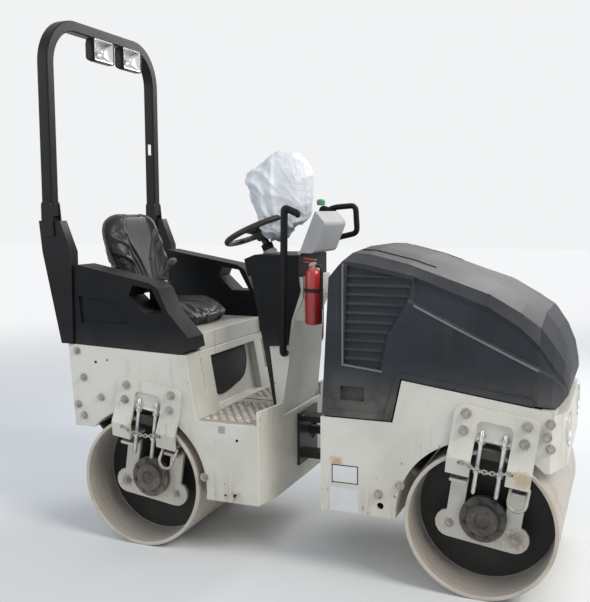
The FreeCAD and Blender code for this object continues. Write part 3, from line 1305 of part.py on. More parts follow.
# One cross section of the hood, or with a margin the plainer one of the hollow inside.
def hood_section(row, margin):
    ahead, crown, shoulder, crease, drawn, share = row
    half = s.hood_half - drawn - margin
    crown = s.lip_low + crown - margin * 2
    shoulder = s.lip_low + shoulder - margin
    ledge = s.hood_ledge * share
    if margin:
        side = [
            (half - s.hood_ledge * 1.4, s.lip_low - margin * 2),
            (half - s.hood_ledge * 1.4, shoulder - 24), (half * 0.42, crown)]
    else:
        crease = s.lip_low + crease
        side = [
            (half, s.lip_low), (half, crease), (half - ledge, crease + 10),
            (half - ledge * 1.4, shoulder - 24), (half - ledge * 0.6 - 8, shoulder),
            (half - 62, shoulder + (crown - shoulder) * 0.62), (half * 0.42, crown)]
    return side + [(-a, b) for a, b in reversed(side)]


# The hood's form: cross sections joined from its rear to its nose, then the leaning rear face.
def hood_volume(name, margin):
    x = front_drum_x
    body = new_body(name)
    sketches = []
    rows = [HOOD_SECTIONS[number] for number in (0, 3, 4, 6, 9)] if margin else HOOD_SECTIONS
    for row in rows:
        shift = 1 if row[0] < -600 else (-1 if row[0] > 190 else 0)
        sketches.append(outline_sketch(body, "YZ_Plane", hood_section(row, margin),
                                       x + row[0] + margin * shift))
    feature = body.newObject("PartDesign::AdditiveLoft", name + "_loft")
    feature.Profile = sketches[0]
    feature.Sections = sketches[1:]
    feature.Ruled = True
    body.Tip = feature
    rear, base = x - s.hood_rear, s.lip_low
    cut_outline(body, "XZ_Plane", [
        (rear - 60, base - 60), (rear + margin, base - 60), (rear + margin, base),
        (rear + margin + s.hood_rear_lean, base + s.hood_bevel_foot),
        (x - s.hood_bevel_ahead + margin, base + s.hood_bevel_rise - margin),
        (x - s.hood_bevel_ahead + margin + 60, base + s.hood_bevel_rise - margin + 72),
        (rear - 60, base + s.hood_bevel_rise + 72)], -s.hood_half - 50, s.hood_half + 50)
    return body


# An ear inside the hood's nose that turns on a pin of the front frame.
def hood_ear(side):
    x, z = front_drum_x + s.hood_hinge_ahead, s.hood_hinge_height
    near = s.hood_ear_offset + s.ear_wall + 1
    far = near + s.ear_wall
    low, high = (near, far) if side > 0 else (-far, -near)
    tag = "left" if side > 0 else "right"
    ear = slab(f"hood_ear_{tag}", "XZ_Plane", [
        (x - 16, z - 16), (x - 16, z + 16), (front_drum_x + s.hood_tip_ahead - 3, z + 40),
        (front_drum_x + s.hood_tip_ahead - 3, z - 10)], low, high)
    cut_circles(ear, "XZ_Plane", [((x, z), s.hood_pin + s.pin_play)],
                as_size(low) - 1, as_size(high) + 1)
    return ear


# A side piece of the hood: an outline between two depths inside the side's plane.
def hood_side_slab(name, side, points, deep, shallow):
    near, far = s.hood_half - deep, s.hood_half - shallow
    low, high = (near, far) if side > 0 else (-far, -near)
    return slab(f"{name}_{'left' if side > 0 else 'right'}", "XZ_Plane", points, low, high)


# Moves the corners of an outline away from its middle.
def grown(points, amount):
    middle_x = sum(point[0] for point in points) / len(points)
    middle_z = sum(point[1] for point in points) / len(points)
    return [(a + math.copysign(amount, a - middle_x), b + math.copysign(amount, b - middle_z))
            for a, b in points]


# Where a level line crosses the louvre's outline, rear and front.
def louvre_ends(level):
    crossings = []
    for (a, b), (c, d) in zip(LOUVRE, LOUVRE[1:] + LOUVRE[:1]):
        if min(b, d) <= level < max(b, d):
            crossings.append(a + (c - a) * (level - b) / (d - b))
    return min(crossings), max(crossings)


# The louvre's slanting ribs, as many as its height takes.
def louvre_ribs(side):
    x, deep = front_drum_x, s.hood_half - s.louvre_depth - 1
    edge, rib = s.hood_half - 3, s.louvre_rib
    heights = [point[1] for point in LOUVRE]
    count = int((max(heights) - min(heights)) / s.louvre_pitch.value)
    ribs = []
    for number in range(1, count):
        level = min(heights) + number * s.louvre_pitch.value
        rear, front = louvre_ends(level)
        z = s.lip_low + min(heights) + s.louvre_pitch * number
        ribs.append(slab(f"louvre_rib_{number}_{'left' if side > 0 else 'right'}", "YZ_Plane", [
            (side * deep, z + rib), (side * edge, z), (side * edge, z - 3),
            (side * deep, z - 3)], x + rear - 2, x + front + 2))
    return ribs


def hood():
    x = front_drum_x
    shell = cut("hood_shell", hood_volume("hood_outside", 0),
                hood_volume("hood_inside", s.hood_wall))
    trim = slab("hood_trim", "XZ_Plane", [
        (x - s.lip_low_back, s.lip_low - 40), (x - s.lip_low_back, s.lip_low),
        (x - s.lip_step_back, s.lip_high), (x + s.nose_ahead, s.lip_nose + 2),
        (x + s.hood_tip_ahead - s.chin_back, s.lip_nose + 2),
        (x + s.hood_tip_ahead + 2, s.lip_nose + s.chin_rise),
        (x + s.hood_tip_ahead + 40, s.lip_nose + s.chin_rise),
        (x + s.hood_tip_ahead + 40, s.lip_low - 40)],
        -s.hood_half - 60, s.hood_half + 60)
    louvre = [(x + ahead, s.lip_low + rise) for ahead, rise in LOUVRE]
    backing = [(x + ahead, s.lip_low + rise) for ahead, rise in grown(LOUVRE, 8)]
    grip = [(x + ahead, s.lip_low + rise) for ahead, rise in GRIP]
    grip_back = [(x + ahead, s.lip_low + rise) for ahead, rise in grown(GRIP, 8)]
    high, slope = s.bead_high, (s.lip_high - s.lip_nose) / (s.lip_step_back + s.nose_ahead)
    end = x + s.bead_ahead
    end_height = s.lip_high - (s.lip_step_back + s.bead_ahead) * slope
    rear = x - s.hood_rear + s.bead_high
    bead = [
        (rear, s.lip_low), (x - s.lip_low_back, s.lip_low), (x - s.lip_step_back, s.lip_high),
        (end, end_height), (end, end_height + high), (x - s.lip_step_back - high / 2,
                                                      s.lip_high + high),
        (x - s.lip_low_back - high, s.lip_low + high), (rear, s.lip_low + high)]
    added, taken = [], []
    for side in (1, -1):
        added.append(hood_ear(side))
        added.append(hood_side_slab("hood_bead", side, bead, s.hood_wall / 2, -s.bead_reach))
        for name, outline, depth in (("louvre_back", backing, s.louvre_depth),
                                     ("grip_back", grip_back, s.grip_depth)):
            added.append(hood_side_slab(name, side, outline, depth + s.hood_wall,
                                        as_size(4)))
        taken.append(hood_side_slab("louvre_recess", side, louvre, s.louvre_depth, -as_size(2)))
        taken.append(hood_side_slab("grip_recess", side, grip, s.grip_depth, -as_size(2)))
    solid = fuse("hood_solid", cut("hood_trimmed", shell, trim), *added)
    opened = cut("hood_opened", solid, fuse("hood_recesses", *taken))
    ribs = louvre_ribs(1) + louvre_ribs(-1)
    return keep(fuse("hood", opened, *ribs), "hood")


rear_frame()
step_treads()
drum("rear_drum", s.rear_drum_x)
drum("front_drum", front_drum_x)
front_frame()
for unit, drum_x, angle in (("rear", s.rear_drum_x, s.rear_scraper_angle),
                            ("front", front_drum_x, s.front_scraper_angle)):
    carrier(f"{unit}_carrier_right", -1, drum_x)
    carrier(f"{unit}_carrier_left", 1, drum_x)
    buffers(f"{unit}_buffers", drum_x)
    hubs_and_yokes(unit, drum_x)
    scraper(f"{unit}_scraper", drum_x, angle)
steering_fork()
knuckle()
rocking_bearing()
steering_cylinder()
console("console_right", -1)
console("console_left", 1)
seat()
drive_lever()
hoop_legs()
hoop()
work_lamps()
steering_column()
dash_panel()
steering_wheel()
hand_rails()
dash_cover()
dash_bag()
extinguisher()
engine_block()
hood()
doc.recompute()

faults = [item.Name for item in doc.Objects
          if "Invalid" in item.State or "Error" in item.State]
for item in parts:
    if item.Shape.isNull() or not item.Shape.isValid() or not item.Shape.Solids:
        faults.append(item.Label)
if faults:
    raise RuntimeError("not valid: " + ", ".join(faults))

os.makedirs("parts", exist_ok=True)
for item in parts:
    item.Shape.exportStep(f"parts/{item.Label}.step")
    print(item.Label, len(item.Shape.Solids), round(item.Shape.Volume / 1e6, 3))
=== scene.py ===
import bpy
import bmesh
import json
import math
import random
from mathutils import Matrix, Vector, noise
from mathutils.bvhtree import BVHTree


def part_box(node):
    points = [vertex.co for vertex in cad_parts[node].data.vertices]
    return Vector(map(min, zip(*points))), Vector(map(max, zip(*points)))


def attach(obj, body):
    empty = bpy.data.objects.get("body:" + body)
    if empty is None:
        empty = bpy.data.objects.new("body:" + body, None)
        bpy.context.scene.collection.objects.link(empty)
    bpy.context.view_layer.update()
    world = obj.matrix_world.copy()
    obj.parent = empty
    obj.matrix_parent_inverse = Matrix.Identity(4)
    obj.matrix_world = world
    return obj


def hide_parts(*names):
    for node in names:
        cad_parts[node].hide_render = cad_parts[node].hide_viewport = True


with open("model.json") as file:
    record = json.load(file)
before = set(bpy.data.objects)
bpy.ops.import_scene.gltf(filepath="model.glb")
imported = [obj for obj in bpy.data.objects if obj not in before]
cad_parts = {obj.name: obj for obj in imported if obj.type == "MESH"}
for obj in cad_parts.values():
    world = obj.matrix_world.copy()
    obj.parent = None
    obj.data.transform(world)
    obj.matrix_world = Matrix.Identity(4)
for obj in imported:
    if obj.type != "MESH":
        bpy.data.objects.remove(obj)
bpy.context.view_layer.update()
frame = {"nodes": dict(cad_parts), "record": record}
nodeObjects = frame["nodes"]
print("frame loaded:", len(nodeObjects), "nodes")


# shader building

def feed(tree, socket, value):
    if isinstance(value, bpy.types.NodeSocket):
        tree.links.new(value, socket)
    elif isinstance(value, tuple) and len(value) == 3 and socket.type == "RGBA":
        socket.default_value = (*value, 1.0)
    else:
        socket.default_value = value


def addNode(tree, kind, settings=None, **sockets):
    node = tree.nodes.new("ShaderNode" + kind)
    for key, value in (settings or {}).items():
        setattr(node, key, value)
    for key, value in sockets.items():
        feed(tree, node.inputs[key.replace("_", " ")], value)
    return node


def mixColour(tree, factor, colourA, colourB, blendType="MIX"):
    mix = addNode(tree, "Mix", {"data_type": "RGBA", "blend_type": blendType})
    feed(tree, mix.inputs[0], factor)
    feed(tree, mix.inputs[6], colourA)
    feed(tree, mix.inputs[7], colourB)
    return mix.outputs[2]


def calc(tree, operation, first, second=0.0, clamp=False):
    node = addNode(tree, "Math", {"operation": operation, "use_clamp": clamp})
    feed(tree, node.inputs[0], first)
    feed(tree, node.inputs[1], second)
    return node.outputs[0]


def times(tree, first, second, clamp=False):
    return calc(tree, "MULTIPLY", first, second, clamp)


def plus(tree, first, second, clamp=False):
    return calc(tree, "ADD", first, second, clamp)


def cloudAt(tree, place, scale, detail, rough=0.5):
    # soft noise between 0 and 1
    return addNode(tree, "TexNoise", Vector=place, Scale=scale, Detail=detail, Roughness=rough).outputs["Fac"]


def spread(tree, value, low, high):
    # 0 below low, 1 above high, smooth between
    node = addNode(tree, "MapRange", {"interpolation_type": "SMOOTHSTEP"})
    for key, given in (("Value", value), ("From Min", low), ("From Max", high)):
        feed(tree, node.inputs[key], given)
    return node.outputs["Result"]


def addRelief(tree, shader, height, depth, strength=0.5):
    bump = addNode(tree, "Bump", Height=height, Distance=depth, Strength=strength)
    feed(tree, shader.inputs["Normal"], bump.outputs["Normal"])


def newGroup(name, inputs, outputs):
    tree = bpy.data.node_groups.new(name, "ShaderNodeTree")
    for label, kind, value in inputs:
        socket = tree.interface.new_socket(name=label, in_out="INPUT", socket_type=kind)
        if value is not None:
            socket.default_value = value
    for label, kind in outputs:
        tree.interface.new_socket(name=label, in_out="OUTPUT", socket_type=kind)
    return tree, tree.nodes.new("NodeGroupInput").outputs, tree.nodes.new("NodeGroupOutput").inputs


def dustGroup():
    # road dust: thick near the ground and on faces that look up
    tree, given, out = newGroup("roadDust", [
        ("Place", "NodeSocketVector", None), ("Low", "NodeSocketFloat", 0.0),
        ("High", "NodeSocketFloat", 0.6), ("Ground", "NodeSocketFloat", 0.5),
        ("Top", "NodeSocketFloat", 0.2), ("Scale", "NodeSocketFloat", 6.0)],
        [("Mask", "NodeSocketFloat")])
    height = addNode(tree, "SeparateXYZ", Vector=given["Place"]).outputs["Z"]
    facing = addNode(tree, "NewGeometry").outputs["Normal"]
    upward = addNode(tree, "SeparateXYZ", Vector=facing).outputs["Z"]
    cloud = cloudAt(tree, given["Place"], given["Scale"], 6.0, 0.62)
    grit = cloudAt(tree, given["Place"], 85.0, 3.0)
    patch = spread(tree, plus(tree, cloud, times(tree, grit, 0.25)), 0.42, 0.82)
    ground = times(tree, spread(tree, height, given["High"], given["Low"]), given["Ground"])
    top = times(tree, spread(tree, upward, 0.35, 0.95), given["Top"])
    both = calc(tree, "MAXIMUM", ground, top)
    feed(tree, out["Mask"], times(tree, both, plus(tree, patch, 0.25), True))
    return tree


def chipGroup():
    # small chips and scuffs, gathered in patches
    tree, given, out = newGroup("paintChips", [
        ("Place", "NodeSocketVector", None), ("Scale", "NodeSocketFloat", 40.0),
        ("Amount", "NodeSocketFloat", 0.3)], [("Mask", "NodeSocketFloat")])
    spots = cloudAt(tree, given["Place"], given["Scale"], 4.0, 0.7)
    places = cloudAt(tree, given["Place"], 2.6, 2.0)
    level = plus(tree, spots, times(tree, places, 0.35))
    limit = calc(tree, "SUBTRACT", 0.98, times(tree, given["Amount"], 0.22))
    feed(tree, out["Mask"], spread(tree, level, limit, plus(tree, limit, 0.03)))
    return tree


def streakGroup():
    # rust and dirt that ran down from bolts and seams
    tree, given, out = newGroup("runMarks", [
        ("Place", "NodeSocketVector", None), ("Amount", "NodeSocketFloat", 0.3)],
        [("Mask", "NodeSocketFloat")])
    stretched = addNode(tree, "Mapping", Vector=given["Place"], Scale=(38.0, 38.0, 2.2)).outputs[0]
    runs = cloudAt(tree, stretched, 1.0, 3.0)
    places = cloudAt(tree, given["Place"], 3.1, 1.0)
    mask = times(tree, spread(tree, runs, 0.56, 0.72), spread(tree, places, 0.48, 0.66))
    feed(tree, out["Mask"], times(tree, mask, given["Amount"]))
    return tree


def grainGroup():
    # moulded grain or leather grain as a height
    tree, given, out = newGroup("surfaceGrain", [
        ("Place", "NodeSocketVector", None), ("Cell", "NodeSocketFloat", 500.0),
        ("Wave", "NodeSocketFloat", 9.0), ("Mix", "NodeSocketFloat", 0.5)],
        [("Height", "NodeSocketFloat")])
    cells = addNode(tree, "TexVoronoi", {"feature": "SMOOTH_F1"}, Vector=given["Place"],
                    Scale=given["Cell"]).outputs["Distance"]
    wave = cloudAt(tree, given["Place"], given["Wave"], 2.0)
    small = times(tree, cells, given["Mix"])
    large = times(tree, wave, calc(tree, "SUBTRACT", 1.0, given["Mix"]))
    feed(tree, out["Height"], plus(tree, small, large))
    return tree


def stainGroup():
    # a soft spot with a ragged edge, for rust halos and other marks at a known place
    tree, given, out = newGroup("stainSpot", [
        ("Place", "NodeSocketVector", None), ("Centre", "NodeSocketVector", None),
        ("Radius", "NodeSocketFloat", 0.04)], [("Mask", "NodeSocketFloat")])
    away = addNode(tree, "VectorMath", {"operation": "DISTANCE"})
    feed(tree, away.inputs[0], given["Place"])
    feed(tree, away.inputs[1], given["Centre"])
    ragged = cloudAt(tree, given["Place"], 70.0, 6.0, 0.7)
    reach = times(tree, given["Radius"], calc(tree, "SUBTRACT", times(tree, ragged, 2.8), 0.4))
    share = calc(tree, "DIVIDE", away.outputs["Value"], reach)
    feed(tree, out["Mask"], spread(tree, share, 1.0, 0.35))
    return tree


groups = {"dust": dustGroup(), "chips": chipGroup(), "streaks": streakGroup(), "grain": grainGroup(),
          "stain": stainGroup()}


def useGroup(tree, name, **sockets):
    node = tree.nodes.new("ShaderNodeGroup")
    node.node_tree = groups[name]
    for key, value in sockets.items():
        feed(tree, node.inputs[key], value)
    return node.outputs[0]


dustTan = (0.45, 0.39, 0.31)
rustBrown = (0.22, 0.085, 0.025)

# what every finish has unless its own entry below says otherwise
plainWear = {"coat": 0.0, "specular": 0.5, "dust": (0.0, 0.8, 0.35, 0.2), "chips": (60.0, 0.25),
             "chipColour": (0.12, 0.11, 0.10), "streaks": 0.06, "grain": (500.0, 12.0, 0.5), "depth": 0.0005,
             "stains": ()}
# one entry for each finish: what a user would change
finishOwn = {
    "creamPaint": {"colour": (0.66, 0.635, 0.56), "shade": (0.56, 0.54, 0.47), "rough": 0.42, "coat": 0.12,
                   "dust": (0.0, 0.62, 0.50, 0.22), "chips": (46.0, 0.55), "chipColour": rustBrown,
                   "streaks": 0.35, "grain": (240.0, 14.0, 0.25), "depth": 0.0006,
                   "stains": (((0.955, -0.350, 0.218), 0.050, rustBrown), ((-0.776, -0.350, 0.253), 0.040, rustBrown),
                              ((0.993, -0.475, 0.498), 0.050, (0.50, 0.34, 0.14)),
                              ((0.270, -0.450, 0.480), 0.032, (0.42, 0.20, 0.07)))},
    "hoodPlastic": {"colour": (0.030, 0.034, 0.041), "shade": (0.020, 0.023, 0.028), "rough": 0.50, "coat": 0.04,
                    "specular": 0.18, "dust": (0.62, 0.92, 0.20, 0.07), "chips": (60.0, 0.25),
                    "chipColour": (0.16, 0.16, 0.16), "streaks": 0.12, "grain": (620.0, 5.0, 0.35)},
    # painted highlight: the lighter colour of the beads along the hood's crease and louvre
    "hoodHighlight": {"colour": (0.16, 0.17, 0.18), "shade": (0.11, 0.12, 0.13), "rough": 0.42, "specular": 0.4},
    "consolePlastic": {"colour": (0.009, 0.010, 0.012), "shade": (0.006, 0.007, 0.008), "rough": 0.44,
                       "specular": 0.13, "dust": (0.8, 1.0, 0.07, 0.05), "chips": (70.0, 0.2),
                       "grain": (700.0, 9.0, 0.6), "depth": 0.0006},
    "hoopPaint": {"colour": (0.008, 0.008, 0.009), "shade": (0.005, 0.005, 0.006), "rough": 0.34, "coat": 0.02,
                  "specular": 0.16, "dust": (0.5, 1.0, 0.06, 0.05), "chips": (55.0, 0.3),
                  "chipColour": (0.20, 0.16, 0.12), "grain": (260.0, 12.0, 0.3)},
    "gloveBlack": {"colour": (0.010, 0.010, 0.011), "shade": (0.016, 0.016, 0.016), "rough": 0.36,
                   "specular": 0.35, "dust": (1.3, 1.5, 0.1, 0.12), "chips": (90.0, 0.1),
                   "grain": (520.0, 20.0, 0.6)},
    "hubPaint": {"colour": (0.026, 0.026, 0.028), "shade": (0.015, 0.015, 0.017), "rough": 0.55,
                 "specular": 0.35, "dust": (0.0, 0.7, 0.45, 0.3), "chips": (40.0, 0.5),
                 "chipColour": (0.18, 0.10, 0.05), "streaks": 0.15, "grain": (180.0, 20.0, 0.4), "depth": 0.0012},
    "blackRubber": {"colour": (0.014, 0.014, 0.015), "shade": (0.024, 0.023, 0.022), "rough": 0.70,
                    "specular": 0.30, "dust": (0.0, 0.8, 0.45, 0.25), "chips": (80.0, 0.1),
                    "grain": (300.0, 30.0, 0.5), "depth": 0.0010},
    "deepBlack": {"colour": (0.004, 0.004, 0.004), "shade": (0.006, 0.006, 0.006), "rough": 0.8, "specular": 0.1,
                  "dust": (0.0, 0.5, 0.1, 0.0), "chips": (80.0, 0.0)},
    "redPaint": {"colour": (0.45, 0.022, 0.018), "shade": (0.30, 0.014, 0.014), "rough": 0.28, "coat": 0.6,
                 "dust": (0.8, 1.0, 0.15, 0.2), "chips": (70.0, 0.2), "grain": (200.0, 8.0, 0.2), "depth": 0.0003},
    "yellowPaint": {"colour": (0.55, 0.36, 0.04), "shade": (0.42, 0.27, 0.05), "rough": 0.5,
                    "grain": (300.0, 9.0, 0.3)},
    "greenPlastic": {"colour": (0.06, 0.30, 0.10), "shade": (0.04, 0.20, 0.08), "rough": 0.4},
    "greyPlastic": {"colour": (0.36, 0.36, 0.35), "shade": (0.28, 0.28, 0.27), "rough": 0.5,
                    "grain": (600.0, 10.0, 0.6)},
    "plateFilm": {"colour": (0.70, 0.71, 0.71), "shade": (0.62, 0.63, 0.62), "rough": 0.35, "coat": 0.2,
                  "chips": (70.0, 0.3), "chipColour": (0.34, 0.33, 0.31), "streaks": 0.15, "depth": 0.0003},
    "coverPlastic": {"colour": (0.44, 0.44, 0.44), "shade": (0.36, 0.36, 0.36), "rough": 0.60,
                     "dust": (1.2, 1.4, 0.2, 0.3), "chips": (50.0, 0.25), "chipColour": (0.25, 0.24, 0.22),
                     "streaks": 0.12, "grain": (520.0, 9.0, 0.7), "depth": 0.0009},
}
finishes = {name: {**plainWear, **own} for name, own in finishOwn.items()}


def startMaterial(name):
    made = bpy.data.materials.new(name)
    made.use_nodes = True
    tree = made.node_tree
    place = addNode(tree, "TexCoord").outputs["Object"]
    return made, tree, tree.nodes["Principled BSDF"], place


def weathered(name):
    look = finishes[name]
    made, tree, shader, place = startMaterial(name)
    cloud = cloudAt(tree, place, 3.4, 5.0)
    colour = mixColour(tree, spread(tree, cloud, 0.35, 0.68), look["colour"], look["shade"])
    streaks = useGroup(tree, "streaks", Place=place, Amount=look["streaks"])
    colour = mixColour(tree, streaks, colour, rustBrown)
    chips = useGroup(tree, "chips", Place=place, Scale=look["chips"][0], Amount=look["chips"][1])
    colour = mixColour(tree, chips, colour, look["chipColour"])
    for centre, radius, tone in look["stains"]:
        mark = useGroup(tree, "stain", Place=place, Centre=centre, Radius=radius)
        colour = mixColour(tree, times(tree, mark, 0.65), colour, tone)
    low, high, ground, top = look["dust"]
    dust = useGroup(tree, "dust", Place=place, Low=low, High=high, Ground=ground, Top=top)
    feed(tree, shader.inputs["Base Color"], mixColour(tree, dust, colour, dustTan))
    rough = plus(tree, look["rough"], times(tree, cloud, 0.14))
    worn = calc(tree, "MAXIMUM", dust, chips)
    feed(tree, shader.inputs["Roughness"], plus(tree, rough, times(tree, worn, 0.4), True))
    cell, wave, share = look["grain"]
    height = useGroup(tree, "grain", Place=place, Cell=cell, Wave=wave, Mix=share)
    height = calc(tree, "SUBTRACT", height, times(tree, chips, 0.4))
    addRelief(tree, shader, height, look["depth"], 0.6)
    shader.inputs["Specular IOR Level"].default_value = look["specular"]
    shader.inputs["Coat Weight"].default_value = look["coat"]
    shader.inputs["Coat Roughness"].default_value = 0.22
    return made


# inside: painted shade, the near-black deeper in the drum's hollow
drumColoursAndShade = {"steel": (0.50, 0.46, 0.40), "worn": (0.58, 0.55, 0.50), "mud": (0.40, 0.33, 0.25),
            "inside": (0.016, 0.015, 0.014), "shellInner": 0.262}


def drumMaterial(name, centre):
    # rolled steel with marks round the drum; inside, painted shade, near-black deeper in, and dried mud near the open
    # ends
    made, tree, shader, place = startMaterial(name)
    local = addNode(tree, "VectorMath", {"operation": "SUBTRACT"})
    feed(tree, local.inputs[0], place)
    local.inputs[1].default_value = centre
    parts = addNode(tree, "SeparateXYZ", Vector=local.outputs[0])
    flat = addNode(tree, "CombineXYZ", X=parts.outputs["X"], Z=parts.outputs["Z"])
    radius = addNode(tree, "VectorMath", {"operation": "LENGTH"})
    feed(tree, radius.inputs[0], flat.outputs[0])
    radius = radius.outputs["Value"]
    bands = addNode(tree, "CombineXYZ", X=times(tree, parts.outputs["Y"], 60.0))
    lines = cloudAt(tree, bands.outputs[0], 1.0, 4.0)
    cloud = cloudAt(tree, place, 7.0, 6.0, 0.65)
    steel = mixColour(tree, spread(tree, lines, 0.35, 0.7), drumColoursAndShade["steel"], drumColoursAndShade["worn"])
    mudPatch = spread(tree, cloud, 0.46, 0.66)
    outside = mixColour(tree, times(tree, mudPatch, 0.75), steel, drumColoursAndShade["mud"])
    # inside the shell: painted shade deeper in, dried mud near the open ends
    wave = times(tree, calc(tree, "SUBTRACT", cloud, 0.5), 0.09)
    depth = calc(tree, "SUBTRACT", 0.5, calc(tree, "ABSOLUTE", parts.outputs["Y"]))
    band = spread(tree, plus(tree, depth, wave), 0.105, 0.085)
    inner = mixColour(tree, times(tree, band, 0.8), drumColoursAndShade["inside"], drumColoursAndShade["mud"])
    isOuter = spread(tree, radius, drumColoursAndShade["shellInner"] + 0.006, drumColoursAndShade["shellInner"] + 0.014)
    feed(tree, shader.inputs["Base Color"], mixColour(tree, isOuter, inner, outside))
    metal = times(tree, isOuter, calc(tree, "SUBTRACT", 0.45, times(tree, mudPatch, 0.4)))
    feed(tree, shader.inputs["Metallic"], metal)
    feed(tree, shader.inputs["Roughness"], plus(tree, 0.42, times(tree, cloud, 0.4), True))
    height = plus(tree, times(tree, lines, 0.3), cloud)
    addRelief(tree, shader, height, 0.0015)
    return made


vinylLook = {"colour": (0.009, 0.009, 0.010), "dusty": (0.05, 0.048, 0.044), "rough": 0.27}


def vinylMaterial():
    made, tree, shader, place = startMaterial("seatVinyl")
    cloud = cloudAt(tree, place, 9.0, 5.0)
    dust = useGroup(tree, "dust", Place=place, Low=0.8, High=1.2, Ground=0.25, Top=0.35)
    feed(tree, shader.inputs["Base Color"], mixColour(tree, times(tree, dust, 0.25),
                                                      vinylLook["colour"], vinylLook["dusty"]))
    feed(tree, shader.inputs["Roughness"], plus(tree, vinylLook["rough"], times(tree, cloud, 0.22)))
    height = useGroup(tree, "grain", Place=place, Cell=420.0, Wave=26.0, Mix=0.55)
    addRelief(tree, shader, height, 0.0008)
    shader.inputs["Specular IOR Level"].default_value = 0.30
    shader.inputs["Coat Weight"].default_value = 0.08
    shader.inputs["Coat Roughness"].default_value = 0.25
    return made


def sheetMaterial():
    # thin white plastic film with fine creases
    made, tree, shader, place = startMaterial("whiteFilm")
    cloud = cloudAt(tree, place, 16.0, 6.0)
    feed(tree, shader.inputs["Base Color"], mixColour(tree, spread(tree, cloud, 0.3, 0.75),
                                                      (0.76, 0.77, 0.78), (0.62, 0.64, 0.67)))
    feed(tree, shader.inputs["Roughness"], plus(tree, 0.30, times(tree, cloud, 0.2)))
    creases = addNode(tree, "TexVoronoi", {"feature": "DISTANCE_TO_EDGE"}, Vector=place, Scale=34.0)
    fine = spread(tree, creases.outputs["Distance"], 0.0, 0.12)
    height = plus(tree, times(tree, fine, 0.4), cloud)
    addRelief(tree, shader, height, 0.003)
    shader.inputs["Subsurface Weight"].default_value = 0.15
    shader.inputs["Subsurface Radius"].default_value = (0.02, 0.02, 0.02)
    shader.inputs["Sheen Weight"].default_value = 0.1
    return made


def steelMaterial(name, colour, rough, metallic, dustAmount, wear=0.9, relief=0.0006):
    made, tree, shader, place = startMaterial(name)
    cloud = cloudAt(tree, place, 22.0, 6.0)
    chips = useGroup(tree, "chips", Place=place, Scale=60.0, Amount=wear)
    dust = useGroup(tree, "dust", Place=place, Low=0.0, High=0.9, Ground=dustAmount, Top=dustAmount)
    tone = mixColour(tree, spread(tree, cloud, 0.3, 0.7), colour, tuple(c * 0.72 for c in colour))
    tone = mixColour(tree, chips, tone, rustBrown)
    feed(tree, shader.inputs["Base Color"], mixColour(tree, dust, tone, dustTan))
    plain = calc(tree, "SUBTRACT", 1.0, calc(tree, "MAXIMUM", dust, chips))
    feed(tree, shader.inputs["Metallic"], times(tree, plain, metallic))
    feed(tree, shader.inputs["Roughness"], plus(tree, rough, times(tree, cloud, 0.3), True))
    addRelief(tree, shader, cloud, relief)
    return made


materials = {name: weathered(name) for name in finishes}
materials["seatVinyl"] = vinylMaterial()
materials["whiteFilm"] = sheetMaterial()
materials["zincSteel"] = steelMaterial("zincSteel", (0.62, 0.60, 0.56), 0.30, 0.9, 0.3)
materials["treadSteel"] = steelMaterial("treadSteel", (0.55, 0.52, 0.46), 0.42, 0.6, 0.8)
materials["treadWorn"] = steelMaterial("treadWorn", (0.66, 0.63, 0.57), 0.38, 0.7, 0.35)
materials["dullZinc"] = steelMaterial("dullZinc", (0.46, 0.44, 0.40), 0.42, 0.8, 0.3)
materials["chrome"] = steelMaterial("chrome", (0.70, 0.70, 0.69), 0.20, 1.0, 0.12, 0.3, 0.00005)
materials["reflector"] = steelMaterial("reflector", (0.72, 0.72, 0.72), 0.12, 1.0, 0.05, 0.1, 0.00005)
materials["bulbGlass"] = steelMaterial("bulbGlass", (0.75, 0.72, 0.62), 0.15, 0.2, 0.05)
for side in ("rear", "front"):
    low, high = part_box(side + "_drum")
    centre = tuple((low + high) / 2)
    materials[side + "Drum"] = drumMaterial(side + "DrumSteel", centre)
print("materials made:", len(materials))

finishOfSlot = {
    "cream_paint": "creamPaint", "bare_steel": "zincSteel", "black_paint": "hoopPaint",
    "black_rubber": "blackRubber", "hood_plastic": "hoodPlastic", "black_plastic": "consolePlastic",
    "tread_steel": "treadSteel", "seat_vinyl": "seatVinyl", "cover_plastic": "coverPlastic",
    "white_sheet": "whiteFilm", "red_paint": "redPaint", "engine_paint": "hubPaint",
}
slotOfNode = {part["node"]: part["material_slot"] for part in frame["record"]["subparts"]}
bodyOfNode = {node: body for body, members in frame["record"]["behaviour"]["bodies"].items() for node in members}


def materialOfNode(nodeName):
    if nodeName in ("rear_drum", "front_drum"):
        return nodeName.split("_")[0] + "Drum"
    return finishOfSlot[slotOfNode[nodeName]]


for name, thing in nodeObjects.items():
    for index in range(len(thing.material_slots)):
        thing.material_slots[index].material = materials[materialOfNode(name)]


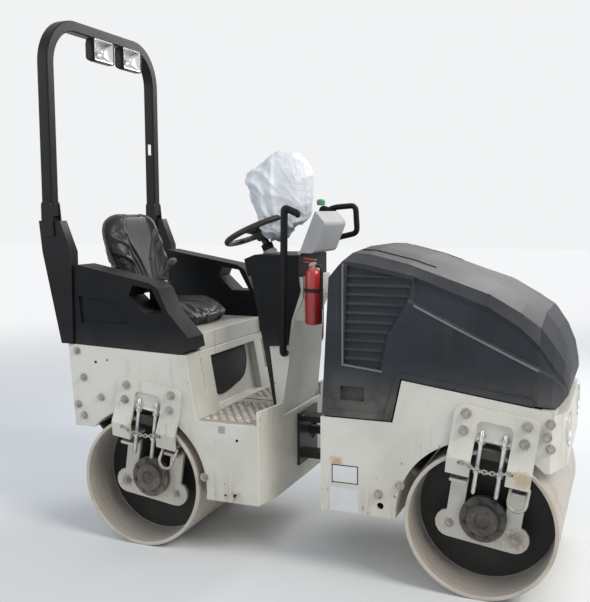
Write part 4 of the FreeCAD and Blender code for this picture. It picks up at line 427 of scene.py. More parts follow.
class Solid:
    # gathers simple closed solids in one mesh, each placed by the solid's own turn
    def __init__(self, turn=None):
        self.mesh = bmesh.new()
        self.turn = turn or Matrix.Identity(4)

    def skin(self, rings, ends="flat"):
        rows = [[self.mesh.verts.new(self.turn @ Vector(point)) for point in ring] for ring in rings]
        pairs = list(zip(rows, rows[1:]))
        if ends == "joined":
            pairs.append((rows[-1], rows[0]))
        for first, second in pairs:
            for number in range(len(first)):
                after = (number + 1) % len(first)
                self.mesh.faces.new((first[number], first[after], second[after], second[number]))
        if ends == "flat":
            self.mesh.faces.new(list(reversed(rows[0])))
            self.mesh.faces.new(rows[-1])

    def block(self, low, high):
        corners = ((low[0], low[1]), (high[0], low[1]), (high[0], high[1]), (low[0], high[1]))
        self.skin([[(x, y, z) for x, y in corners] for z in (low[2], high[2])])

    def turned(self, profile, place, axis="Z", sides=24, ends="flat"):
        # profile: radius and distance along the axis, from one flat end to the other
        along = {"X": 0, "Y": 1, "Z": 2}[axis]
        across = [number for number in range(3) if number != along]
        rings = []
        for radius, reach in profile:
            ring = []
            for number in range(sides):
                turn = math.tau * number / sides
                point = list(place)
                point[across[0]] += radius * math.cos(turn)
                point[across[1]] += radius * math.sin(turn)
                point[along] += reach
                ring.append(point)
            rings.append(ring)
        self.skin(rings, ends)

    def pipe(self, path, radius, sides=10, closed=False, flatten=1.0):
        path = [Vector(point) for point in path]
        count = len(path)
        rings = []
        side = None
        for number, point in enumerate(path):
            before = path[number - 1] if number or closed else point
            after = path[(number + 1) % count] if number + 1 < count or closed else point
            ahead = (after - before).normalized()
            side = ahead.orthogonal() if side is None else side - ahead * side.dot(ahead)
            side.normalize()
            third = ahead.cross(side)
            turns = [math.tau * step / sides for step in range(sides)]
            rings.append([point + (side * math.cos(turn) + third * math.sin(turn) * flatten) * radius
                          for turn in turns])
        self.skin(rings, "joined" if closed else "flat")

    def finish(self, name, material, body, slot, bevel=0.0):
        bmesh.ops.recalc_face_normals(self.mesh, faces=self.mesh.faces)
        return finishMesh(self.mesh, name, material, body, bevel)


def linked(name, data):
    thing = bpy.data.objects.new(name, data)
    bpy.context.scene.collection.objects.link(thing)
    return thing


def finishMesh(mesh, name, material, body, bevel=0.0, sharp=38.0):
    data = bpy.data.meshes.new(name)
    mesh.to_mesh(data)
    mesh.free()
    thing = linked(name, data)
    if bevel:
        edge = thing.modifiers.new("edge", "BEVEL")
        edge.width, edge.segments, edge.limit_method = bevel, 2, "ANGLE"
        edge.angle_limit = math.radians(30.0)
        applyModifiers(thing)
    return dressed(thing, material, body, sharp)


def applyModifiers(thing):
    view = bpy.context.evaluated_depsgraph_get()
    made = bpy.data.meshes.new_from_object(thing.evaluated_get(view))
    thing.modifiers.clear()
    thing.data = made


def dressed(thing, material, body, sharp=38.0):
    data = thing.data
    data.materials.clear()
    data.materials.append(materials[material])
    data.polygons.foreach_set("material_index", [0] * len(data.polygons))
    data.polygons.foreach_set("use_smooth", [True] * len(data.polygons))
    data.set_sharp_from_angle(angle=math.radians(sharp))
    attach(thing, body)
    return thing


# softer edges for the pieces whose CAD edges are square: radius of each in metres, and how they are found
softening = {"weld": 2e-5, "flat": 0.6, "bend": 24.0, "segments": 3, "sharp": 32.0}
softEdges = {
    "console_right": 0.009, "console_left": 0.009, "hoop": 0.006, "hoop_legs": 0.004,
    "rear_frame": 0.005, "front_frame": 0.005, "steering_column": 0.006, "dash_panel": 0.004,
    "dash_cover": 0.030, "seat_platform": 0.004, "rear_carrier_right": 0.004,
    "rear_carrier_left": 0.004, "front_carrier_right": 0.004, "front_carrier_left": 0.004,
    "rear_hub_yokes": 0.004, "front_hub_yokes": 0.004, "rear_hub_motors": 0.006,
    "front_hub_motors": 0.006, "rear_drum": 0.004, "front_drum": 0.004, "steering_fork": 0.003,
    "rocking_bearing": 0.003,
}


def softened(nodeName, radius):
    # a welded copy of a CAD node, its flat faces whole again, with its long sharp edges rounded
    mesh = bmesh.new()
    mesh.from_mesh(nodeObjects[nodeName].data)
    bmesh.ops.remove_doubles(mesh, verts=mesh.verts, dist=softening["weld"])
    bmesh.ops.dissolve_limit(mesh, angle_limit=math.radians(softening["flat"]), verts=mesh.verts, edges=mesh.edges)
    chosen = []
    for edge in mesh.edges:
        if len(edge.link_faces) != 2 or edge.calc_length() < radius * 1.5:
            continue
        bend = edge.calc_face_angle(0.0)
        smallest = min(face.calc_area() for face in edge.link_faces)
        if bend > math.radians(softening["bend"]) and smallest > radius ** 2 * 2:
            chosen.append(edge)
    bmesh.ops.bevel(mesh, geom=chosen, offset=radius, segments=softening["segments"], profile=0.5,
                    affect="EDGES", clamp_overlap=True)
    thing = finishMesh(mesh, nodeName + "_soft", materialOfNode(nodeName), bodyOfNode[nodeName],
                       sharp=softening["sharp"])
    even = thing.modifiers.new("even", "WEIGHTED_NORMAL")
    even.keep_sharp = True
    applyModifiers(thing)
    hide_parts(nodeName)


for nodeName, radius in softEdges.items():
    softened(nodeName, radius)
print("edges softened:", len(softEdges))


# places of the two drums and the lean of what carries them; each unit's fittings ride its own body
carrierLean = math.radians(8.0)
drumCentre = {name: (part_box(name + "_drum")[0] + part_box(name + "_drum")[1]) / 2 for name in ("rear", "front")}
carrierTurn = {name: Matrix.Translation(centre) @ Matrix.Rotation(carrierLean, 4, "Y")
               for name, centre in drumCentre.items()}
unitBody = {"rear": "rear_unit", "front": "front_unit"}


# Geometry Nodes: one item set on every point of a field

def geoNode(tree, kind, settings=None, **sockets):
    node = tree.nodes.new(kind)
    for key, value in (settings or {}).items():
        setattr(node, key, value)
    for key, value in sockets.items():
        feed(tree, node.inputs[key.replace("_", " ")], value)
    return node


def fieldTree(name, inputs, makeItem):
    # points carry aim (the item's Z), roll about it and size
    tree = bpy.data.node_groups.new(name, "GeometryNodeTree")
    tree.interface.new_socket(name="Places", in_out="INPUT", socket_type="NodeSocketGeometry")
    for label, value in inputs:
        tree.interface.new_socket(name=label, in_out="INPUT", socket_type="NodeSocketFloat").default_value = value
    tree.interface.new_socket(name="Made", in_out="OUTPUT", socket_type="NodeSocketGeometry")
    given = tree.nodes.new("NodeGroupInput").outputs
    out = tree.nodes.new("NodeGroupOutput").inputs
    aim, roll, size = (geoNode(tree, "GeometryNodeInputNamedAttribute", {"data_type": kind}, Name=label).outputs[0]
                       for label, kind in (("aim", "FLOAT_VECTOR"), ("roll", "FLOAT"), ("size", "FLOAT")))
    turn = geoNode(tree, "FunctionNodeAlignRotationToVector", {"axis": "Z"}, Vector=aim).outputs[0]
    spin = geoNode(tree, "FunctionNodeAxisAngleToRotation", Axis=(0.0, 0.0, 1.0), Angle=roll).outputs[0]
    both = geoNode(tree, "FunctionNodeRotateRotation", {"rotation_space": "LOCAL"}, Rotation=turn, Rotate_By=spin)
    scale = geoNode(tree, "ShaderNodeCombineXYZ", X=size, Y=size, Z=size).outputs[0]
    item = makeItem(tree, given)
    placed = geoNode(tree, "GeometryNodeInstanceOnPoints", Points=given["Places"], Instance=item,
                     Rotation=both.outputs[0], Scale=scale)
    real = geoNode(tree, "GeometryNodeRealizeInstances", Geometry=placed.outputs[0])
    painted = geoNode(tree, "GeometryNodeSetMaterial", Geometry=real.outputs[0])
    tree.interface.new_socket(name="Finish", in_out="INPUT", socket_type="NodeSocketMaterial")
    tree.links.new(tree.nodes["Group Input"].outputs["Finish"], painted.inputs["Material"])
    feed(tree, out["Made"], painted.outputs[0])
    return tree


def standing(tree, shape, lift):
    return geoNode(tree, "GeometryNodeTransform", Geometry=shape,
                   Translation=geoNode(tree, "ShaderNodeCombineXYZ", Z=lift).outputs[0]).outputs[0]


def boltItem(tree, given):
    # washer, six-sided nut and the end of the stud
    joined = geoNode(tree, "GeometryNodeJoinGeometry")
    nutFoot = times(tree, given["Nut Height"], 0.5)
    for sides, radius, height, lift in (
            (18, given["Washer Radius"], 0.003, 0.0015), (6, given["Nut Radius"], given["Nut Height"], nutFoot),
            (10, given["Stud Radius"], given["Stud Height"], times(tree, given["Stud Height"], 0.5))):
        shape = geoNode(tree, "GeometryNodeMeshCylinder", Vertices=sides, Radius=radius, Depth=height)
        tree.links.new(standing(tree, shape.outputs["Mesh"], lift), joined.inputs[0])
    return joined.outputs[0]


def linkItem(tree, given):
    # one oval link of a chain
    ring = geoNode(tree, "GeometryNodeCurvePrimitiveCircle", Resolution=14, Radius=given["Link Radius"])
    wire = geoNode(tree, "GeometryNodeCurvePrimitiveCircle", Resolution=7, Radius=given["Wire Radius"])
    stood = geoNode(tree, "GeometryNodeTransform", Geometry=ring.outputs[0],
                    Rotation=(math.pi / 2, 0.0, 0.0), Scale=(0.72, 1.0, 1.25))
    return geoNode(tree, "GeometryNodeCurveToMesh", Curve=stood.outputs[0],
                   Profile_Curve=wire.outputs[0]).outputs[0]


def crownItem(tree, given):
    # a raised oval crown of the step's tread, in two tiers
    joined = geoNode(tree, "GeometryNodeJoinGeometry")
    for share, height in ((1.0, 0.45), (0.82, 1.0)):
        shape = geoNode(tree, "GeometryNodeMeshCone", Vertices=14,
                        Radius_Bottom=times(tree, given["Crown Radius"], share),
                        Radius_Top=times(tree, given["Crown Radius"], share * 0.78),
                        Depth=times(tree, given["Crown Height"], height))
        tree.links.new(shape.outputs["Mesh"], joined.inputs[0])
    return geoNode(tree, "GeometryNodeTransform", Geometry=joined.outputs[0], Scale=(1.55, 0.8, 1.0)).outputs[0]


fieldTrees = {
    "bolts": fieldTree("boltField", [("Washer Radius", 0.016), ("Nut Radius", 0.0115), ("Nut Height", 0.011),
                                     ("Stud Radius", 0.0065), ("Stud Height", 0.017)], boltItem),
    "links": fieldTree("chainField", [("Link Radius", 0.010), ("Wire Radius", 0.0027)], linkItem),
    "crowns": fieldTree("treadField", [("Crown Radius", 0.011), ("Crown Height", 0.005)], crownItem),
}


def makeField(name, treeName, spots, material, body):
    # spots: place, aim, roll, size
    data = bpy.data.meshes.new(name)
    data.from_pydata([tuple(spot[0]) for spot in spots], [], [])
    for label, kind, values in (("aim", "FLOAT_VECTOR", [tuple(spot[1]) for spot in spots]),
                                ("roll", "FLOAT", [spot[2] for spot in spots]),
                                ("size", "FLOAT", [spot[3] for spot in spots])):
        attribute = data.attributes.new(label, kind, "POINT")
        for number, value in enumerate(values):
            if kind == "FLOAT":
                attribute.data[number].value = value
            else:
                attribute.data[number].vector = value
    thing = linked(name, data)
    field = thing.modifiers.new("field", "NODES")
    field.node_group = fieldTrees[treeName]
    for item in fieldTrees[treeName].interface.items_tree:
        if item.name == "Finish":
            field[item.identifier] = materials[material]
    applyModifiers(thing)
    for label in ("aim", "roll", "size"):
        if label in thing.data.attributes:
            thing.data.attributes.remove(thing.data.attributes[label])
    return dressed(thing, material, body)


# bolts on the carriers, the yokes, the hubs and the frames, in metres
boltPlaces = {"carrier": (0.112, (0.422, 0.356), 0.465), "yoke": (0.127, -0.055, 0.350),
              "hub": (8, 0.078, 0.374),
              "frontFrame": ((1.085, 0.705), (1.074, 0.656), (1.087, 0.614), (0.444, 0.367), (0.531, 0.413)),
              "rearFrame": ((-0.960, 0.858), (-0.927, 0.739), (-0.838, 0.655), (-0.960, 0.614),
                            (-0.931, 0.565), (-0.326, 0.347)),
              "frameFace": 0.450}


def makeBolts():
    rng = random.Random(11)
    for unit, turn in carrierTurn.items():
        spots, black = [], []
        for side in (1, -1):
            aim = Vector((0.0, side, 0.0))
            half, heights, face = boltPlaces["carrier"]
            for across in (half, -half):
                for height in heights:
                    spots.append((turn @ Vector((across, side * face, height)), aim, rng.random(), 1.25))
            half, height, face = boltPlaces["yoke"]
            for across in (half, -half):
                spots.append((turn @ Vector((across, side * face, height)), aim, rng.random(), 1.15))
            count, ring, face = boltPlaces["hub"]
            for number in range(count):
                angle = math.tau * (number + 0.5) / count
                place = Vector((ring * math.cos(angle), side * face, ring * math.sin(angle)))
                black.append((turn @ place, aim, rng.random(), 0.75))
            for place in boltPlaces[unit + "Frame"]:
                spots.append((Vector((place[0], side * boltPlaces["frameFace"], place[1])), aim, rng.random(), 1.15))
        makeField(unit + "_bolts", "bolts", spots, "dullZinc", unitBody[unit])
        makeField(unit + "_hub_bolts", "bolts", black, "hubPaint", unitBody[unit])


makeBolts()
print("bolts made")


# rods, cross bar, chain, hook ring and cap at each carrier, in metres
hanger = {"rodAcross": 0.043, "rodLow": 0.128, "rodHigh": 0.366, "rodRadius": 0.0085, "face": 0.455,
          "barHeight": 0.332, "barHalf": 0.064, "barRadius": 0.009, "chainHeight": 0.239,
          "chainAcross": (-0.096, 0.075), "chainFace": 0.484, "chainSag": 0.016, "links": 13,
          "ringAcross": 0.122, "ringHalf": 0.033, "ringFoot": 0.098, "ringTop": 0.182, "ringWire": 0.0065,
          "capRadius": 0.062, "capFace": 0.374, "blockDeep": 0.060,
          "blockHalf": 0.040, "blockLow": 0.262, "blockHigh": 0.300, "lowNut": 0.205}


def makeHangers():
    for unit, turn in carrierTurn.items():
        steel, links, tags = Solid(turn), [], Solid(turn)
        hooks, caps, cores = Solid(turn), Solid(turn), Solid(turn)
        for side in (1, -1):
            face = side * hanger["face"]
            for across in (hanger["rodAcross"], -hanger["rodAcross"]):
                steel.turned([(hanger["rodRadius"] * 0.6, hanger["rodLow"] - 0.006),
                              (hanger["rodRadius"], hanger["rodLow"]), (hanger["rodRadius"], hanger["rodHigh"]),
                              (hanger["rodRadius"] * 0.6, hanger["rodHigh"] + 0.006)], (across, face, 0.0), "Z", 16)
                for height in (hanger["barHeight"] - 0.015, hanger["barHeight"] + 0.011, hanger["lowNut"]):
                    steel.turned([(0.015, 0.0), (0.015, 0.012)], (across, face, height), "Z", 6)
            steel.pipe([(-hanger["barHalf"], face - side * 0.012, hanger["barHeight"]),
                        (hanger["barHalf"], face - side * 0.012, hanger["barHeight"])], hanger["barRadius"], 12)
            inner = face - side * hanger["blockDeep"]
            cores.block((-hanger["blockHalf"], min(face, inner), hanger["blockLow"]),
                        (hanger["blockHalf"], max(face, inner), hanger["blockHigh"]))
            first, last = hanger["chainAcross"]
            for number in range(hanger["links"]):
                share = number / (hanger["links"] - 1)
                drop = hanger["chainSag"] * 4 * share * (1 - share)
                lean = -hanger["chainSag"] * 4 * (1 - 2 * share) / (last - first)
                place = Vector((first + (last - first) * share, side * hanger["chainFace"],
                                hanger["chainHeight"] - drop))
                aim = turn.to_3x3() @ Vector((1.0, 0.0, lean))
                links.append((turn @ place, aim, (number % 2) * math.pi / 2, 1.0))
            for across in (first - 0.012, last + 0.012):
                tags.turned([(0.006, -0.004), (0.013, 0.0), (0.013, 0.005), (0.006, 0.009)],
                            (across, side * (hanger["chainFace"] - 0.006), hanger["chainHeight"]), "Y", 12)
                steel.turned([(0.006, -0.010), (0.006, 0.010)],
                             (across, side * (hanger["chainFace"] - 0.012), hanger["chainHeight"]), "Y", 10)
            path = [(hanger["ringAcross"] - hanger["ringHalf"], face - side * 0.02, hanger["ringTop"])]
            for step in range(9):
                angle = math.pi + math.pi * step / 8
                path.append((hanger["ringAcross"] + hanger["ringHalf"] * math.cos(angle), face + side * 0.012,
                             hanger["ringFoot"] + hanger["ringHalf"] * (1 + math.sin(angle))))
            path.append((hanger["ringAcross"] + hanger["ringHalf"], face - side * 0.02, hanger["ringTop"]))
            hooks.pipe(path, hanger["ringWire"], 12)
            radius, foot = hanger["capRadius"], side * hanger["capFace"]
            caps.turned([(radius, 0.0), (radius, side * 0.010), (radius * 0.94, side * 0.016),
                         (radius * 0.5, side * 0.018), (radius * 0.46, side * 0.012), (0.006, side * 0.012)],
                        (0.0, foot, 0.0), "Y", 40)
        body = unitBody[unit]
        steel.finish(unit + "_hanger_rods", "chrome", body, "bare_steel")
        cores.finish(unit + "_hanger_blocks", "blackRubber", body, "black_rubber", bevel=0.003)
        tags.finish(unit + "_chain_tags", "yellowPaint", body, "cream_paint")
        hooks.finish(unit + "_tow_rings", "dullZinc", body, "bare_steel")
        caps.finish(unit + "_hub_caps", "hubPaint", body, "engine_paint")
        makeField(unit + "_chains", "links", links, "dullZinc", body)


makeHangers()
print("hangers made")


# perforated treads of the two steps, staggered rows of raised crowns
tread = {"pitchAlong": 0.040, "pitchAcross": 0.031, "edge": 0.026, "size": 1.0}


def makeTreads():
    low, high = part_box("step_treads")
    spots = []
    rows = int((high.y - 0.03 - tread["edge"]) / tread["pitchAcross"])
    columns = int((high.x - low.x - 2 * tread["edge"]) / tread["pitchAlong"]) + 1
    for side in (1, -1):
        for row in range(rows):
            across = high.y - tread["edge"] - row * tread["pitchAcross"]
            for column in range(columns - row % 2):
                along = low.x + tread["edge"] + (column + 0.5 * (row % 2)) * tread["pitchAlong"]
                inside = 0.446 - max(0.0, along + 0.086) * 6.0
                if along > -0.105 and across < 0.26 or across > inside:
                    continue
                spots.append((Vector((along, side * across, high.z + 0.0012)), (0.0, 0.0, 1.0), 0.0, tread["size"]))
    makeField("tread_crowns", "crowns", spots, "treadWorn", "rear_unit")


makeTreads()
print("treads made")


# the seat: two padded pieces, swollen with Cloth, with the raised ribs sewn in afterwards
seat = {"voxel": 0.006, "pressure": 4.0, "steps": 20, "cushionCap": 0.022, "backCap": 0.022,
        "rib": 0.0085, "welt": 0.005, "fill": 0.8, "backFoot": 0.192, "backMore": 0.036, "shoulder": 0.62,
        "backThick": 0.046, "cushionThick": 0.046}
backRibLines = (((0.10, 0.06), (0.20, 0.42), (0.66, 0.80)), ((0.25, 0.04), (0.34, 0.40), (0.80, 0.70)),
                ((0.42, 0.04), (0.50, 0.32), (0.88, 0.55)))  # share of the half width, share of the height


def puffed(thing, cap):
    # remeshes, swells with Cloth while held near its shape, then subdivides once
    grain = thing.modifiers.new("voxels", "REMESH")
    grain.mode, grain.voxel_size, grain.use_smooth_shade = "VOXEL", seat["voxel"], True
    applyModifiers(thing)
    start = [vertex.co.copy() for vertex in thing.data.vertices]
    cloth = thing.modifiers.new("cloth", "CLOTH")
    settings = cloth.settings
    settings.use_pressure, settings.uniform_pressure_force = True, seat["pressure"]
    settings.effector_weights.gravity = 0.0
    settings.quality = 4
    cloth.collision_settings.use_collision = False
    for step in range(1, seat["steps"] + 1):
        bpy.context.scene.frame_set(step)
    applyModifiers(thing)
    bpy.context.scene.frame_set(1)
    for vertex, first in zip(thing.data.vertices, start):
        move = vertex.co - first
        if move.length > cap:
            vertex.co = first + move * (cap / move.length)
    finer = thing.modifiers.new("finer", "SUBSURF")
    finer.levels = finer.render_levels = 1
    applyModifiers(thing)
    return thing


def meshObject(name, rings):
    points = [tuple(point) for ring in rings for point in ring]
    count = len(rings[0])
    faces = []
    for row in range(len(rings) - 1):
        for column in range(count):
            after = (column + 1) % count
            faces.append((row * count + column, row * count + after,
                          (row + 1) * count + after, (row + 1) * count + column))
    faces.append(tuple(reversed(range(count))))
    faces.append(tuple((len(rings) - 1) * count + column for column in range(count)))
    data = bpy.data.meshes.new(name)
    data.from_pydata(points, [], faces)
    thing = linked(name, data)
    mesh = bmesh.new()
    mesh.from_mesh(data)
    bmesh.ops.recalc_face_normals(mesh, faces=mesh.faces)
    mesh.to_mesh(data)
    mesh.free()
    return thing


def moved(thing, shift):
    # moves every point by a rule that also sees the way the surface faces there
    data = thing.data
    facings = [vertex.normal.copy() for vertex in data.vertices]
    places = [shift(vertex.co.copy(), facing) for vertex, facing in zip(data.vertices, facings)]
    data.vertices.foreach_set("co", [value for place in places for value in place])
    data.update()


def smoothStep(value, low, high):
    share = min(1.0, max(0.0, (value - low) / (high - low)))
    return share * share * (3 - 2 * share)


def backWidth(rise):
    # half width of the back against its height: narrow foot, wide shoulders, rounded top
    wide = seat["backFoot"] + seat["backMore"] * smoothStep(rise, 0.0, 0.55)
    top = max(0.0, (rise - seat["shoulder"]) / 0.38)
    return wide * max(0.02, 1.0 - top ** 3.2) ** 0.42


def backRibs(across, rise):
    # how far the ribs stand out: three nested curves each side
    height = 0.0
    for points in backRibLines:
        if rise < points[0][1] - 0.02 or rise > points[2][1] + 0.02:
            continue
        if rise < points[1][1]:
            share = (rise - points[0][1]) / (points[1][1] - points[0][1])
            centre = points[0][0] + (points[1][0] - points[0][0]) * share ** 2
            slope = 0.3
        else:
            share = (rise - points[1][1]) / (points[2][1] - points[1][1])
            centre = points[1][0] + (points[2][0] - points[1][0]) * share ** 1.25
            slope = 1.0
        ends = smoothStep(rise, points[0][1] - 0.02, points[0][1] + 0.08)
        ends *= 1.0 - smoothStep(rise, points[2][1] - 0.07, points[2][1] + 0.02)
        off = (across - centre) / (0.052 + 0.03 * slope)
        height = max(height, ends * math.exp(-off * off * 2.2))
    return height


def makeSeatBack():
    low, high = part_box("seat_back")
    tall = high.z - low.z
    rings = []
    rows, half = 44, 26
    lean = (high.x - low.x) - 0.095
    for row in range(rows + 1):
        rise = row / rows
        width = backWidth(rise)
        rounding = min(1.0, max(0.06, (1 - max(0.0, (rise - 0.8) / 0.2) ** 2.5))) ** 0.5
        rounding *= 0.72 + 0.28 * smoothStep(rise, 0.0, 0.10)
        middle = high.x - 0.052 - lean * rise - 0.012 * math.sin(math.pi * rise)
        front, back = [], []
        for number in range(half + 1):
            across = -1 + 2 * number / half
            edge = max(0.0, 1 - abs(across) ** 5) ** 0.5
            wing = smoothStep(abs(across), 0.42, 0.78)
            front.append((middle + (0.016 + 0.034 * wing) * edge * rounding, across * width, low.z + tall * rise))
            back.append((middle - seat["backThick"] * edge * rounding, across * width, low.z + tall * rise))
        rings.append(front + list(reversed(back))[1:-1])
    thing = puffed(meshObject("seat_back_pad", rings), seat["backCap"])

    def ribbed(here, facing):
        rise = (here.z - low.z) / tall
        across = abs(here.y) / max(0.05, backWidth(rise) + 0.012)
        if facing.x > 0.25:
            here.x += seat["rib"] * backRibs(across, rise) * min(1.0, facing.x * 1.6)
        return here
    moved(thing, ribbed)
    fitInside(thing, low, high)
    dressed(thing, "seatVinyl", "rear_unit", 180.0)
    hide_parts("seat_back")


def fitInside(thing, low, high):
    # draws a swollen pad back to the space that its CAD solid holds
    points = [vertex.co for vertex in thing.data.vertices]
    first = [min(point[axis] for point in points) for axis in range(3)]
    last = [max(point[axis] for point in points) for axis in range(3)]
    scale, goal, middle = [], [], []
    for axis in range(3):
        wide = last[axis] - first[axis]
        scale.append(min(1.0, (high[axis] - low[axis]) / wide))
        middle.append((first[axis] + last[axis]) / 2)
        spare = wide * scale[axis] / 2
        goal.append(min(max(middle[axis], low[axis] + spare), high[axis] - spare))
    moved(thing, lambda here, facing: Vector([goal[axis] + (here[axis] - middle[axis]) * scale[axis]
                                              for axis in range(3)]))


def makeSeatCushion():
    low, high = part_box("seat_cushion")
    middle, half = (low + high) / 2, (high - low) / 2
    rings = []
    rows, count = 40, 26
    for row in range(rows + 1):
        along = -1 + 2 * row / rows
        width = half.y * (0.90 - 0.10 * smoothStep(along, 0.1, -1.0)) * max(0.02, 1 - abs(along) ** 6) ** 0.33
        front = 1 - 0.55 * smoothStep(along, 0.45, 1.0)
        top, under = [], []
        for number in range(count + 1):
            across = -1 + 2 * number / count
            edge = max(0.0, 1 - abs(across) ** 5) ** 0.5 * max(0.03, 1 - abs(along) ** 8) ** 0.5
            wing = smoothStep(abs(across), 0.45, 0.8) * (1 - smoothStep(along, 0.2, 0.95))
            lift = (0.018 + 0.026 * wing) * edge * front - 0.030 * smoothStep(along, 0.3, 1.0)
            place = (middle.x + along * half.x * 0.955, across * width)
            top.append((*place, middle.z + lift + 0.004))
            under.append((*place, middle.z - seat["cushionThick"] * edge))
        rings.append(top + list(reversed(under))[1:-1])
    thing = puffed(meshObject("seat_cushion_pad", rings), seat["cushionCap"])

    def welted(here, facing):
        along = (here.x - low.x) / (high.x - low.x)
        across = abs(here.y) / half.y
        if facing.z > 0.2:
            welt = 0.0
            for place in (0.22, 0.40):
                off = (across - place - 0.05 * along) / 0.045
                ends = smoothStep(along, 0.12, 0.3) * (1 - smoothStep(along, 0.78, 0.95))
                welt = max(welt, math.exp(-off * off * 2.0) * ends)
            here.z += seat["welt"] * welt
        return here
    moved(thing, welted)
    fitInside(thing, low, high)
    dressed(thing, "seatVinyl", "rear_unit", 180.0)
    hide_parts("seat_cushion")


makeSeatBack()
makeSeatCushion()
print("seat made")


# the white bag over the instruments: outline of its side, in metres, and its folds
bag = {"outline": ((-0.160, 1.736), (-0.075, 1.734), (-0.030, 1.690), (-0.004, 1.630), (-0.006, 1.540),
                   (-0.020, 1.465), (-0.052, 1.425), (-0.100, 1.395), (-0.150, 1.345), (-0.200, 1.338),
                   (-0.238, 1.370), (-0.236, 1.430), (-0.252, 1.490), (-0.286, 1.550), (-0.304, 1.610),
                   (-0.294, 1.650), (-0.245, 1.682), (-0.200, 1.718)),
       "half": 0.108, "layers": 34, "seed": 4.1, "voxel": 0.0055, "fold": 0.017, "pleat": 0.009, "edge": 0.012}


def ridges(point, turns=3):
    # thin sharp folds: where smooth noise crosses zero
    height, weight = 0.0, 1.0
    for step in range(turns):
        value = 1.0 - abs(noise.noise(point * (1.9 ** step))) * 2.2
        height += weight * max(0.0, value) ** 3
        weight *= 0.5
    return height


def makeBag():
    outline = [Vector((x, 0.0, z)) for x, z in bag["outline"]]
    centre = sum(outline, Vector()) / len(outline)
    dense = []
    for number, point in enumerate(outline):
        after = outline[(number + 1) % len(outline)]
        dense += [point.lerp(after, step / 6) for step in range(6)]
    rings = []
    for layer in range(bag["layers"] + 1):
        across = -1 + 2 * layer / bag["layers"]
        shrink = max(0.0, 1 - abs(across) ** 3.4) ** 0.5
        shrink = 0.10 + 0.90 * shrink
        rings.append([centre + (point - centre) * shrink + Vector((0.0, across * bag["half"], 0.0))
                      for point in dense])
    thing = meshObject("white_bag", rings)
    grain = thing.modifiers.new("voxels", "REMESH")
    grain.mode, grain.voxel_size = "VOXEL", bag["voxel"]
    even = thing.modifiers.new("even", "SMOOTH")
    even.iterations, even.factor = 6, 0.5
    applyModifiers(thing)
    drop = Vector((bag["seed"], 2.3, 0.7))

    def folded(here, facing):
        # taut where the bag's bright side faces ahead, crumpled behind and below
        taut = smoothStep(here.x, -0.20, -0.11) * smoothStep(here.z, 1.40, 1.52)
        crumple = 1.0 - 0.66 * taut
        swirl = Vector((noise.noise(here * 5 + drop), noise.noise(here * 5 - drop), 0.0)) * 0.05
        folds = ridges(Vector((here.x * 9 + here.z * 4, here.y * 9, here.z * 5)) + swirl * 9 + drop)
        hang = ridges(Vector((here.x * 22, here.y * 22, here.z * 3.0)) + drop * 2, 2)
        low = 1.0 - smoothStep(here.z, 1.36, 1.50)
        move = bag["fold"] * crumple * (folds - 0.55) + bag["pleat"] * low * (hang - 0.6)
        # and a strong fold from the top's corner down the side
        off = here.x + 0.168 - 0.09 * (1.736 - here.z)
        place = here + facing * move
        if facing.y < -0.2 and here.z > 1.45:
            place.y -= bag["edge"] * math.exp(-(off / bag["edge"]) ** 2)
        return place
    moved(thing, folded)
    dressed(thing, "whiteFilm", "rear_unit", 180.0)
    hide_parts("dash_bag")


makeBag()
print("bag made")


# steering wheel, in its own frame: the axle leans back
wheelFacts = {"place": (-0.255, 0.0, 1.392), "lean": 24.0, "radius": 0.165, "rim": 0.0135, "knob": 0.021,
              "hub": 0.040}


def makeSteeringWheel():
    turn = Matrix.Translation(wheelFacts["place"]) @ Matrix.Rotation(-math.radians(wheelFacts["lean"]), 4, "Y")
    wheel = Solid(turn)
    radius = wheelFacts["radius"]
    ring = [(radius * math.cos(math.tau * step / 64), radius * math.sin(math.tau * step / 64), 0.0)
            for step in range(64)]
    wheel.pipe(ring, wheelFacts["rim"], 14, closed=True)
    hub = wheelFacts["hub"]
    wheel.turned([(hub * 0.62, -0.050), (hub * 0.80, -0.044), (hub, -0.010), (hub, 0.010), (hub * 0.9, 0.016),
                  (hub * 0.3, 0.018)], (0, 0, 0), "Z", 32)
    wheel.turned([(0.017, -0.100), (0.017, -0.050)], (0, 0, 0), "Z", 20)
    for angle in (30, 150, 270):
        away = Vector((math.cos(math.radians(angle)), math.sin(math.radians(angle)), 0.0))
        wheel.pipe([away * (hub * 0.7), away * (radius * 0.55) - Vector((0, 0, 0.010)), away * (radius - 0.004)],
                   0.014, 10, flatten=0.5)
    knob = wheelFacts["knob"]
    wheel.turned([(0.007, 0.0), (0.007, 0.020), (knob * 0.8, 0.024), (knob, 0.034),
                  (knob, 0.054), (knob * 0.72, 0.064), (knob * 0.2, 0.066)], (0, radius, 0), "Z", 24)
    thing = wheel.finish("steering_wheel_smooth", "gloveBlack", "wheel", slotOfNode["steering_wheel"])
    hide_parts("steering_wheel")
    collar = Solid(turn)
    collar.turned([(0.030, -0.150), (0.034, -0.142), (0.034, -0.108), (0.024, -0.100)], (0, 0, 0), "Z", 28)
    collar.finish("wheel_collar", "greyPlastic", "rear_unit", "black_plastic")


makeSteeringWheel()


# drive lever: boot plate, boot, stem and T grip
leverFacts = {"ahead": -0.621, "across": -0.286, "foot": 1.1635, "lean": 32.0, "stem": 0.0095}


